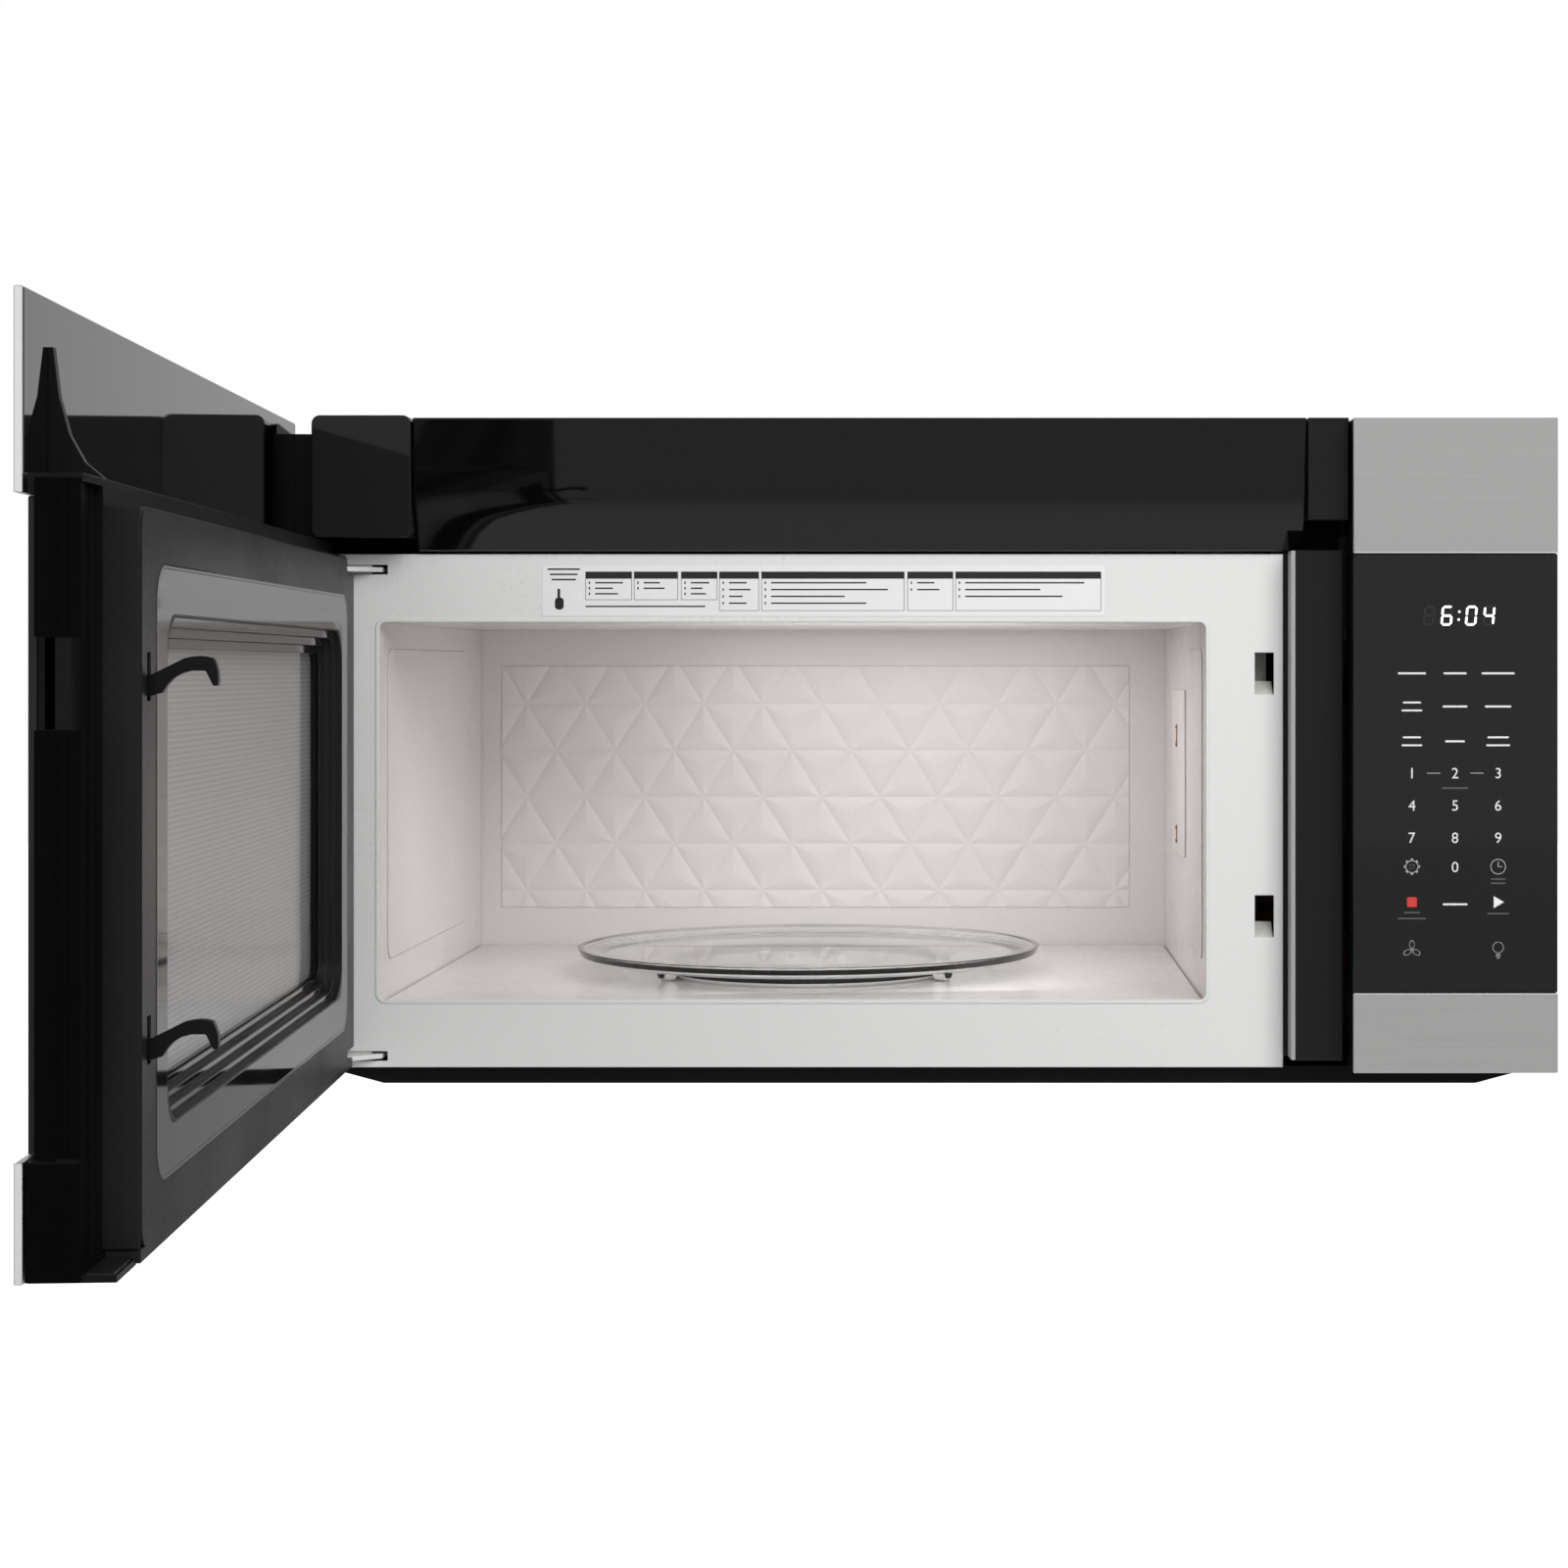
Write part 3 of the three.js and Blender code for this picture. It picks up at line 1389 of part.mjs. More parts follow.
function cavityLight() {
  const z0 = cavityTop + cavity.wall + gap;
  const x = spanAround(cavityLampX, cavityLamp.width);
  const y = [behind(cavityLamp.start), behind(cavityLamp.start + cavityLamp.length)];
  const shell = block(x, y, [z0, z0 + cavityLamp.height]);
  const centre = [cavityLampX, (y[0] + y[1]) / 2];
  const wellTop = z0 + cavityLamp.height - wall;
  const well = disc(cavityLamp.glass, centre, [z0 - past, wellTop]);
  const bulb = disc(cavityLamp.glass / 2, centre, [z0 + cavityLamp.lift, wellTop + overlap], pinSides);
  return joined(cut(shell, well), bulb);
}

// A grommet in the top cover, with flanges over and under the sheet.
function cordBushing() {
  const { hole, bore, flange, flangeHeight } = bushing;
  const over = body.top + gap;
  const under = body.top - sheet - gap;
  return turned(
    [
      [bore, under - flangeHeight],
      [flange, under - flangeHeight],
      [flange, under],
      [hole - gap, under],
      [hole - gap, over],
      [flange, over],
      [flange, over + flangeHeight],
      [bore, over + flangeHeight],
      [bore, under - flangeHeight],
    ],
    bushingCentre,
  );
}

// ---- Finishes --------------------------------------------------------------------------------------
const finish = (color, roughness, metalness) =>
  new THREE.MeshStandardMaterial({ color, roughness, metalness });
const finishes = {
  stainless: finish(0xabaaa8, 0.35, 0.9),
  blackPlastic: finish(0x1c1c1e, 0.5, 0),
  glossBlack: finish(0x141416, 0.12, 0),
  blackGlass: finish(0x0d0d10, 0.05, 0),
  clearGlass: finish(0xc8d0d0, 0.05, 0),
  whitePaint: finish(0xd9d8d4, 0.4, 0),
  cavityPaint: finish(0xc6bcb8, 0.4, 0),
  blackPaint: finish(0x18181a, 0.45, 0),
  screen: finish(0x6c6e70, 0.4, 0.6),
  galvanised: finish(0x9ea3a6, 0.45, 0.8),
  aluminium: finish(0xb8babd, 0.4, 0.9),
  steel: finish(0x8d9094, 0.4, 0.9),
  mica: finish(0xb9ab94, 0.6, 0),
  whitePlastic: finish(0xe6e4df, 0.5, 0),
  board: finish(0x2a5a3a, 0.6, 0),
  copper: finish(0x9a5a34, 0.5, 0.3),
  carbon: finish(0x2c2c2c, 0.9, 0),
  frosted: finish(0xe8e8e0, 0.5, 0),
};

// ---- Assembly --------------------------------------------------------------------------------------
function mesh(name, shape, finishName) {
  const { vertProperties, triVerts } = shape.getMesh();
  const geometry = new THREE.BufferGeometry();
  geometry.setAttribute("position", new THREE.BufferAttribute(vertProperties, 3));
  geometry.setIndex(new THREE.BufferAttribute(triVerts, 1));
  geometry.computeVertexNormals();
  const made = new THREE.Mesh(geometry, finishes[finishName]);
  made.name = name;
  return made;
}

function casing() {
  return [
    mesh("case_top", caseTop(), "galvanised"),
    mesh("case_left_side", caseLeftSide(), "blackPaint"),
    mesh("case_right_side", caseRightSide(), "blackPaint"),
    mesh("back_panel", backPanel(), "galvanised"),
    mesh("base_pan", basePan(), "blackPaint"),
    mesh("front_frame", frontFrame(), "whitePaint"),
    mesh("header_panel", headerPanel(), "glossBlack"),
    mesh("header_end_cap", headerEndCap(), "glossBlack"),
    mesh("bay_frame", bayFrame(), "blackPlastic"),
    mesh("cord_bushing", cordBushing(), "blackPlastic"),
  ];
}

function ovenCavity() {
  return [
    mesh("cavity_left_wall", cavityLeftWall(), "cavityPaint"),
    mesh("cavity_right_wall", cavityRightWall(), "cavityPaint"),
    mesh("cavity_ceiling", cavityCeiling(), "cavityPaint"),
    mesh("cavity_floor", cavityFloor(), "cavityPaint"),
    mesh("cavity_back_wall", cavityBackWall(), "cavityPaint"),
    mesh("waveguide_cover", waveguideCover(), "mica"),
    mesh("cavity_lamp", cavityLight(), "frosted"),
  ];
}

function controlPanel() {
  return [
    mesh("control_top_band", controlTopBand(), "stainless"),
    mesh("control_glass", controlGlass(), "blackGlass"),
    mesh("control_bottom_band", controlBottomBand(), "stainless"),
    mesh("control_housing", controlHousing(), "blackPlastic"),
    mesh("control_board", controlBoard(), "board"),
  ];
}

function doorAssembly() {
  const swing = new THREE.Group();
  const closed = new THREE.Group();
  swing.position.set(hinge.x, hinge.y, 0);
  swing.rotation.z = THREE.MathUtils.degToRad(-door.openAngle);
  closed.position.set(-hinge.x, -hinge.y, 0);
  closed.add(
    mesh("door_frame", doorFrame(), "blackPlastic"),
    mesh("door_top_band", doorTopBand(), "stainless"),
    mesh("door_glass", doorGlass(), "blackGlass"),
    mesh("door_bottom_band", doorBottomBand(), "stainless"),
    mesh("door_screen", doorScreen(), "screen"),
    mesh("inner_window", innerWindow(), "clearGlass"),
    mesh("choke_cover", choke(), "glossBlack"),
    mesh("door_latch", doorLatch(), "blackPlastic"),
    mesh("latch_spring", latchSpringCoil(), "steel"),
  );
  swing.add(closed);
  return swing;
}

function turntable() {
  const rolling = new THREE.Group();
  rolling.position.set(table.x, table.y, rollerZ);
  rolling.add(mesh("roller_ring", rollerRing(), "blackPlastic"));
  for (let i = 0; i < roller.count; i += 1) {
    const wheel = mesh(`roller_${i + 1}`, rollerWheel(), "whitePlastic");
    wheel.rotation.z = rollerAngle(i);
    rolling.add(wheel);
  }
  return [
    mesh("turntable_motor", turntableMotor(), "galvanised"),
    mesh("turntable_coupler", turntableCoupler(), "whitePlastic"),
    mesh("glass_tray", glassTray(), "clearGlass"),
    rolling,
  ];
}

function machinery() {
  return [
    mesh("hinge_arm_upper", hingeArm(arm.upper, upperFlange), "whitePaint"),
    mesh("hinge_arm_lower", hingeArm(arm.lower, lowerFlange), "whitePaint"),
    mesh("interlock_bracket", interlockBracket(), "whitePlastic"),
    mesh("interlock_lever", interlockLever(), "whitePlastic"),
    mesh("interlock_switch_upper", interlockSwitch(0), "blackPlastic"),
    mesh("interlock_switch_lower", interlockSwitch(latch.pitch), "blackPlastic"),
    mesh("waveguide", waveguide(), "galvanised"),
    mesh("magnetron", magnetronUnit(), "aluminium"),
    mesh("hv_transformer", hvTransformer(), "copper"),
    mesh("hv_capacitor", hvCapacitor(), "aluminium"),
    mesh("blower_housing", blowerHousing(), "galvanised"),
    mesh("blower_motor", blowerMotor(), "steel"),
    mesh("blower_rotor", blowerRotor(), "blackPlastic"),
    mesh("charcoal_filter", charcoalFilter(), "carbon"),
    mesh("cooling_fan_shroud", fanShroud(), "blackPlastic"),
    mesh("cooling_fan_wheel", fanWheel(), "whitePlastic"),
  ];
}

function underside() {
  return [
    mesh("grease_filter_left", greaseFilter(-1), "aluminium"),
    mesh("grease_filter_right", greaseFilter(1), "aluminium"),
    mesh("cooktop_lamp_left", cooktopLamp(-1), "frosted"),
    mesh("cooktop_lamp_right", cooktopLamp(1), "frosted"),
    mesh("lamp_cover_left", lampCover(-1), "frosted"),
    mesh("lamp_cover_right", lampCover(1), "frosted"),
  ];
}

const microwaveOven = new THREE.Group();
microwaveOven.add(
  ...casing(),
  ...ovenCavity(),
  ...controlPanel(),
  ...turntable(),
  ...machinery(),
  ...underside(),
  doorAssembly(),
);

export default microwaveOven;
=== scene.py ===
"""Looks of an over-the-range microwave oven that stands with its door open, around its solids.

Places are given in millimetres in the oven's own frame: X to the right, Y to the wall, Z up,
with y = 0 at the flat back. Pieces of the door are drawn with the door closed, and then swung
open about its hinge.
"""
import math

import bmesh
import bpy
from mathutils import Matrix, Vector


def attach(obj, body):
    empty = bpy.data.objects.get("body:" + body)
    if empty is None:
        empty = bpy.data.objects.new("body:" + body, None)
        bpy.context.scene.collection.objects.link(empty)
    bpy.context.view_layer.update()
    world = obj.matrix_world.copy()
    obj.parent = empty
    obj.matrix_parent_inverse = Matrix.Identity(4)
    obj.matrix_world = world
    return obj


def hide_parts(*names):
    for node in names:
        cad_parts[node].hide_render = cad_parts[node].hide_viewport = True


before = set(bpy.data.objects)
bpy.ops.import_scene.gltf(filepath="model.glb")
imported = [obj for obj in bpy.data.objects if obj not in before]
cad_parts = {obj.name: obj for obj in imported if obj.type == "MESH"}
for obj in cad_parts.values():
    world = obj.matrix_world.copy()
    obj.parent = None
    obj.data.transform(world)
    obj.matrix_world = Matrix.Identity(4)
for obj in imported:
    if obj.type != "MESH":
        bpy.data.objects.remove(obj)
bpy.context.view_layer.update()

MM = 0.001

# Planes, openings and the hinge, which several pieces share.
FRONT = -436.0  # front plane of the door and the control panel
GLASS_FRONT = FRONT + 1.0
FRAME_FRONT = FRONT + 43.0
CASE_TOP, CASE_UNDER, CASE_SIDE = 206.4, -203.5, 379.5
CAVITY = {"x": (-340.0, 170.7), "y": (-391.2, -23.0), "z": (-154.0, 82.2)}
MOUTH = (-151.0, 82.2)  # height of the cavity's mouth
TABLE = (-84.65, -208.0)  # axis of the turntable
HINGE = Vector((-365.8, -407.4, 0)) * MM
DOOR_ANGLE = math.radians(-86.2)

# Turns a shape that is drawn lying down so that it faces the front.
STAND_UP = Matrix.Rotation(math.pi / 2, 4, "X")


# ---- Shader nodes ----
def add(tree, kind, inputs=None, **settings):
    """A node with its settings. An input is a plain value or the socket that feeds it."""
    node = tree.nodes.new(kind)
    for key, value in settings.items():
        setattr(node, key, value)
    for key, value in (inputs or {}).items():
        if isinstance(value, bpy.types.NodeSocket):
            tree.links.new(value, node.inputs[key])
        else:
            node.inputs[key].default_value = value
    return node


def maths(tree, operation, *inputs):
    """The outcome of a sum on sockets and plain numbers."""
    node = add(tree, "ShaderNodeMath", dict(enumerate(inputs)), operation=operation)
    return node.outputs["Value"]


def mix(tree, factor, a, b, kind="FLOAT"):
    """Goes from a to b while the factor goes from 0 to 1."""
    inputs = {"Factor": factor, "A": a, "B": b}
    return add(tree, "ShaderNodeMix", inputs, data_type=kind).outputs["Result"]


def ramp(tree, source, start, stop, low=0.0, high=1.0):
    """Goes from low to high while the source goes from start to stop."""
    inputs = {"Value": source, "From Min": start, "From Max": stop, "To Min": low, "To Max": high}
    return add(tree, "ShaderNodeMapRange", inputs).outputs["Result"]


def noise(tree, place, scale, detail, **more):
    """Smooth random values over the surface, around 0.5."""
    inputs = {"Vector": place, "Scale": scale, "Detail": detail, **more}
    return add(tree, "ShaderNodeTexNoise", inputs).outputs["Fac"]


def effect(tree, group, **inputs):
    """The outputs of a shared group in another tree."""
    return add(tree, "ShaderNodeGroup", inputs, node_tree=group).outputs


def node_group(name, inputs, outputs):
    """An empty group with its named sockets, and the nodes at its two ends."""
    group = bpy.data.node_groups.new(name, "ShaderNodeTree")
    for label, kind, value in inputs:
        socket = group.interface.new_socket(label, in_out="INPUT", socket_type=kind)
        if value is not None:
            socket.default_value = value
    for label, kind in outputs:
        group.interface.new_socket(label, in_out="OUTPUT", socket_type=kind)
    return group, group.nodes.new("NodeGroupInput"), group.nodes.new("NodeGroupOutput")


# ---- Effects that several finishes share ----
BROAD_SCALE, FINE_SCALE = 6.0, 160.0  # patches per metre of the slow and the fine variation
SCRATCHES = (5.0, 5.0, 1400.0)  # scratches per metre, along a brushed sheet and up it
EDGE_RADIUS = 0.6
# Where the grain's values take the colour and the roughness from their low to their high.
TONE_SPAN, ROUGH_SPAN = (0.35, 0.65), (0.3, 0.7)
# Where the noise starts a smudge, and where the bent normal starts an edge.
SMUDGE_SPAN, EDGE_SPAN = (0.52, 0.75), (0.98, 0.8)


def make_mottle():
    """Slow and fine variation of a finish, around 0.5."""
    group, start, end = node_group(
        "mottle",
        [("Vector", "NodeSocketVector", None), ("Broad", "NodeSocketFloat", BROAD_SCALE),
         ("Fine", "NodeSocketFloat", FINE_SCALE)],
        [("Value", "NodeSocketFloat")],
    )
    place, broad, fine = (start.outputs[key] for key in ("Vector", "Broad", "Fine"))
    value = mix(group, 0.4, noise(group, place, broad, 3.0), noise(group, place, fine, 2.0))
    group.links.new(value, end.inputs["Value"])
    return group


def make_brushing():
    """Long level scratches of a brushed sheet."""
    group, start, end = node_group(
        "brushing", [("Vector", "NodeSocketVector", None)], [("Lines", "NodeSocketFloat")]
    )
    stretched = add(group, "ShaderNodeVectorMath", {0: start.outputs["Vector"], 1: SCRATCHES},
                    operation="MULTIPLY")
    lines = noise(group, stretched.outputs["Vector"], 1.0, 4.0, Roughness=0.7)
    group.links.new(lines, end.inputs["Lines"])
    return group


def make_smudges():
    """Faint patches where hands have been, from 0 to 1."""
    group, start, end = node_group(
        "smudges", [("Vector", "NodeSocketVector", None)], [("Mask", "NodeSocketFloat")]
    )
    patches = noise(group, start.outputs["Vector"], 9.0, 5.0, Distortion=0.8)
    group.links.new(ramp(group, patches, *SMUDGE_SPAN), end.inputs["Mask"])
    return group


def make_edges():
    """The normal of an edge rounded by a small radius, and a mask of where that edge is."""
    group, start, end = node_group(
        "rounded_edges",
        [("Radius", "NodeSocketFloat", EDGE_RADIUS * MM)],
        [("Normal", "NodeSocketVector"), ("Edge", "NodeSocketFloat")],
    )
    soft = add(group, "ShaderNodeBevel", {"Radius": start.outputs["Radius"]}, samples=4)
    flat = add(group, "ShaderNodeNewGeometry")
    along = add(group, "ShaderNodeVectorMath",
                {0: soft.outputs["Normal"], 1: flat.outputs["Normal"]}, operation="DOT_PRODUCT")
    group.links.new(soft.outputs["Normal"], end.inputs["Normal"])
    group.links.new(ramp(group, along.outputs["Value"], *EDGE_SPAN), end.inputs["Edge"])
    return group


MOTTLE = make_mottle()
BRUSHING = make_brushing()
SMUDGES = make_smudges()
EDGES = make_edges()


# ---- Finishes ----
def grey(value, tint=(1.0, 1.0, 1.0)):
    """A grey, or a colour close to it."""
    return tuple(value * part for part in tint) + (1.0,)


def scaled(colour, factor, lift=0.0):
    """A colour made darker or paler."""
    return tuple(min(1.0, part * factor + lift) for part in colour[:3]) + (1.0,)


def finish(name, colour, roughness, metallic=0.0, vary=0.12, smudge=0.0, edge=EDGE_RADIUS,
           edge_light=0.0, bump=0.0, brushed=False, broad=BROAD_SCALE, fine=FINE_SCALE, **sockets):
    """A finish whose colour, roughness and surface change a little over the piece.

    The edges' radius and the bumps' height are in millimetres.
    """
    material = bpy.data.materials.new(name)
    material.use_nodes = True
    tree = material.node_tree
    shader = tree.nodes["Principled BSDF"]
    place = add(tree, "ShaderNodeTexCoord").outputs["Object"]
    value = effect(tree, MOTTLE, Vector=place, Broad=broad, Fine=fine)["Value"]
    if brushed:
        value = mix(tree, 0.75, value, effect(tree, BRUSHING, Vector=place)["Lines"])
    tone = mix(tree, ramp(tree, value, *TONE_SPAN), scaled(colour, 1 - vary),
               scaled(colour, 1 + vary), "RGBA")
    edges = effect(tree, EDGES, Radius=edge * MM)
    if edge_light:
        lit = maths(tree, "MULTIPLY", edges["Edge"], edge_light)
        tone = mix(tree, lit, tone, scaled(colour, 2.2, 0.02), "RGBA")
    tree.links.new(tone, shader.inputs["Base Color"])
    rough = ramp(tree, value, *ROUGH_SPAN, roughness * 0.8, roughness * 1.25)
    if smudge:
        marks = effect(tree, SMUDGES, Vector=place)["Mask"]
        rough = maths(tree, "MULTIPLY_ADD", marks, smudge, rough)
    tree.links.new(rough, shader.inputs["Roughness"])
    normal = edges["Normal"]
    if bump:
        relief = {"Strength": 0.5, "Distance": bump * MM, "Height": value, "Normal": normal}
        normal = add(tree, "ShaderNodeBump", relief).outputs["Normal"]
    tree.links.new(normal, shader.inputs["Normal"])
    shader.inputs["Metallic"].default_value = metallic
    for key, setting in sockets.items():
        shader.inputs[key.replace("_", " ")].default_value = setting
    return material


def black(name, value, roughness, edge, specular, vary=0.2, **more):
    """A black finish, which is seen mostly by how strongly it mirrors."""
    return finish(name, grey(value), roughness, vary=vary, edge=edge, Specular_IOR_Level=specular,
                  **more)


def dotted(material, pitch, holes):
    """Adds close rows of small round dots, along the swung door's width and height."""
    tree = material.node_tree
    paint = tree.nodes["Principled BSDF"].inputs["Base Color"]
    place = add(tree, "ShaderNodeTexCoord").outputs["Object"]
    turned = add(tree, "ShaderNodeMapping", {"Vector": place, "Rotation": (0.0, 0.0, -DOOR_ANGLE),
                                             "Scale": (1 / (pitch * MM),) * 3})
    split = add(tree, "ShaderNodeSeparateXYZ", {"Vector": turned.outputs["Vector"]})
    odd_row = maths(tree, "PINGPONG", maths(tree, "FLOOR", split.outputs["Z"]), 1.0)
    shifted = maths(tree, "MULTIPLY_ADD", odd_row, 0.5, split.outputs["X"])
    cell = add(tree, "ShaderNodeCombineXYZ",
               {"X": maths(tree, "FRACT", shifted), "Y": maths(tree, "FRACT", split.outputs["Z"])})
    far = add(tree, "ShaderNodeVectorMath", {0: cell.outputs["Vector"], 1: (0.5, 0.5, 0.0)},
              operation="DISTANCE")
    outside = ramp(tree, far.outputs["Value"], 0.3, 0.38)
    tree.links.new(mix(tree, outside, holes, paint.links[0].from_socket, "RGBA"), paint)
    return material


PINKISH = (1.0, 0.955, 0.945)  # tint of the cavity's enamel

stainless = finish("brushed_stainless", grey(0.93, (1.0, 0.995, 0.985)), 0.33, 1.0, vary=0.035,
                   edge=0.8, bump=0.02, brushed=True, broad=3.0)
# A paler, partly diffuse steel for the bands' narrow edges and folded ends. It paints the
# highlights that these edges catch.
stainless_highlight = finish("stainless_edge_painted_highlight", grey(0.66), 0.38, 0.2, vary=0.02, edge=0.4)
gloss_black = black("gloss_black_shell", 0.002, 0.035, 1.2, 0.6, smudge=0.03)
band_back = black("gloss_black_band_back", 0.003, 0.03, 0.4, 0.6, smudge=0.02, Coat_Weight=1.0,
                  Coat_Roughness=0.03)
edge_grey = finish("grey_edge_paint", grey(0.36), 0.4, vary=0.06, edge=0.4)
margin_black = black("glossy_window_margin", 0.006, 0.05, 0.4, 0.85, smudge=0.03)
satin_black = black("satin_black_moulding", 0.006, 0.34, 0.8, 0.4, smudge=0.06, bump=0.03,
                    fine=700.0)
door_black = black("door_frame_moulding", 0.004, 0.34, 0.8, 0.2, smudge=0.05, bump=0.03, fine=700.0)
# Dull black for the free edge's channel, and also for a plate that paints the shade in the notch
# under the header.
dull_black_and_shade = black("dull_black_channel_and_notch_shade", 0.0015, 0.5, 0.4, 0.05)
cover_black = black("choke_cover_moulding", 0.011, 0.4, 1.2, 0.3, vary=0.12, smudge=0.05,
                    bump=0.03, fine=600.0)
black_glass = finish("black_backed_glass", grey(0.008, (1.0, 1.0, 1.08)), 0.035, vary=0.1,
                     smudge=0.04, edge=0.8)
white_enamel = finish("white_frame_enamel", grey(0.74, (1.0, 1.0, 0.99)), 0.3, vary=0.012,
                      smudge=0.03, edge=1.0, bump=0.02, fine=260.0)
cavity_enamel = finish("cavity_enamel", grey(0.66, PINKISH), 0.2, vary=0.02, smudge=0.02,
                       edge=1.5, bump=0.03, fine=220.0)
pressed_enamel = finish("pressed_facet_enamel", grey(0.68, PINKISH), 0.42, vary=0.02, edge=1.5,
                        bump=0.03, fine=220.0)
black_paint = black("black_sheet_paint", 0.004, 0.42, EDGE_RADIUS, 0.16, smudge=0.08,
                    edge_light=0.12, bump=0.03, fine=500.0)
galvanised = finish("galvanised_sheet", grey(0.55, (0.97, 1.0, 1.02)), 0.38, 0.9, vary=0.14,
                    broad=40.0, fine=90.0)
aluminium = finish("plain_aluminium", grey(0.7, (0.99, 1.0, 1.01)), 0.4, 0.95, vary=0.1, edge=0.4)
steel = finish("plain_steel", grey(0.45), 0.35, 0.95, edge=0.4)
copper = finish("varnished_copper", grey(0.4, (1.0, 0.38, 0.18)), 0.35, 0.4, vary=0.2)
mica_sheet = finish("mica_sheet", grey(0.66, (1.0, 0.94, 0.9)), 0.4, vary=0.08, edge=0.3, fine=80.0)
bronze = finish("bronze_clip", grey(0.3, (1.0, 0.66, 0.42)), 0.35, 0.6, vary=0.15, edge=0.3)
white_plastic = finish("white_plastic", grey(0.7, (1.0, 0.99, 0.96)), 0.38, vary=0.03)
carbon = finish("carbon_filter", grey(0.03), 0.85, vary=0.4, bump=0.4, fine=300.0)
frosted = finish("frosted_cover", grey(0.7, (1.0, 1.0, 0.97)), 0.4, vary=0.04,
                 Transmission_Weight=0.45)
board_green = finish("circuit_board", grey(0.16, (0.3, 1.0, 0.5)), 0.45, vary=0.2)
ink_black = finish("printed_black", grey(0.02), 0.5, vary=0.1)
ink_grey = finish("printed_grey", grey(0.42), 0.5, vary=0.05)
ink_dim = finish("printed_dark_grey", grey(0.09), 0.5, vary=0.08)
ink_white = finish("printed_white", grey(0.82), 0.45, vary=0.03)
ink_red = finish("printed_red", grey(0.62, (1.0, 0.07, 0.07)), 0.45, vary=0.04)
chart_white = finish("chart_sheet_white", grey(0.8), 0.42, vary=0.015)
clear_glass = finish("clear_glass", grey(0.93, (0.97, 1.0, 0.99)), 0.02, vary=0.01,
                     Transmission_Weight=1.0, IOR=1.47)
window_film = finish("clear_window_film", grey(0.97), 0.04, vary=0.005, Transmission_Weight=1.0,
                     IOR=1.08)
lit_segment = finish("lit_display_segment", grey(0.9), 0.3, vary=0.02,
                     Emission_Color=(0.95, 0.98, 1.0, 1.0), Emission_Strength=1.3)
dim_segment = finish("unlit_display_segment", grey(0.022), 0.4, vary=0.1)
screen_paint = dotted(
    finish("perforated_screen_paint", grey(0.42, (1.0, 0.97, 0.96)), 0.4, vary=0.05),
    pitch=2.6, holes=grey(0.24),
)


# ---- Shapes ----
LEAST_RADIUS = 0.6  # of a ring's inner corners
OVERLAP = 0.1  # how far a trim reaches into what carries it


def verts_of(made):
    return [g for g in made["geom"] if isinstance(g, bmesh.types.BMVert)]


def edges_of(made):
    return [g for g in made["geom"] if isinstance(g, bmesh.types.BMEdge)]


def edges_at(verts):
    return list(dict.fromkeys(e for v in verts for e in v.link_edges))


def faces_since(bm, before):
    return [f for f in bm.faces if f not in before]


def level(edge):
    """True for an edge that keeps the same depth."""
    return abs(edge.verts[0].co.y - edge.verts[1].co.y) < 1e-7


def moved(bm, matrix, verts=None):
    bmesh.ops.transform(bm, matrix=matrix, verts=verts or bm.verts)


def bevel(bm, geom, kind, radius, segments, **more):
    bmesh.ops.bevel(bm, geom=geom, offset=radius * MM, segments=segments, profile=0.5,
                    affect=kind, material=-1, **more)


def soften(bm, edges, radius, segments=2, **more):
    """Rounds edges by a radius in millimetres."""
    bevel(bm, edges, "EDGES", radius, segments, **more)


def in_scene(name, data):
    """A new object in the scene."""
    made = bpy.data.objects.new(name, data)
    bpy.context.scene.collection.objects.link(made)
    return made


def mesh_of(name, bm):
    """The mesh of a shape, which ends there."""
    mesh = bpy.data.meshes.new(name)
    bm.to_mesh(mesh)
    bm.free()
    return mesh


def block(bm, x, y, z, edge=0.0):
    """A rectangular block between pairs of millimetres, with its edges rounded."""
    size = Vector((x[1] - x[0], y[1] - y[0], z[1] - z[0])) * MM
    centre = Vector((x[0] + x[1], y[0] + y[1], z[0] + z[1])) * MM / 2
    matrix = Matrix.Translation(centre) @ Matrix.Diagonal(size.to_4d())
    made = bmesh.ops.create_cube(bm, size=1.0, matrix=matrix)
    if edge:
        soften(bm, edges_at(made["verts"]), edge)


def outline(bm, x, z, y, radius, segments):
    """Stands a rounded rectangle in the plane y, as one face."""
    made = bmesh.ops.create_grid(bm, x_segments=1, y_segments=1, size=0.5)
    matrix = (
        Matrix.Translation(Vector((x[0] + x[1], 2 * y, z[0] + z[1])) * MM / 2)
        @ Matrix.Diagonal((Vector((x[1] - x[0], 1000.0, z[1] - z[0])) * MM).to_4d())
        @ STAND_UP
    )
    moved(bm, matrix, made["verts"])
    corners = list(made["verts"][0].link_faces[0].verts)
    bevel(bm, corners, "VERTICES", radius, segments)


def rounded_plate(bm, x, y, z, radius, segments=5, edge=0.0):
    """A plate with round corners, from y[0] back to y[1]."""
    before = set(bm.faces)
    outline(bm, x, z, y[0], radius, segments)
    raised = bmesh.ops.extrude_face_region(bm, geom=faces_since(bm, before))
    bmesh.ops.translate(bm, vec=(0, (y[1] - y[0]) * MM, 0), verts=verts_of(raised))
    if edge:
        rims = dict.fromkeys(e for f in faces_since(bm, before) for e in f.edges
                             if level(e) and e.calc_face_angle(0) > 1)
        soften(bm, list(rims), edge)


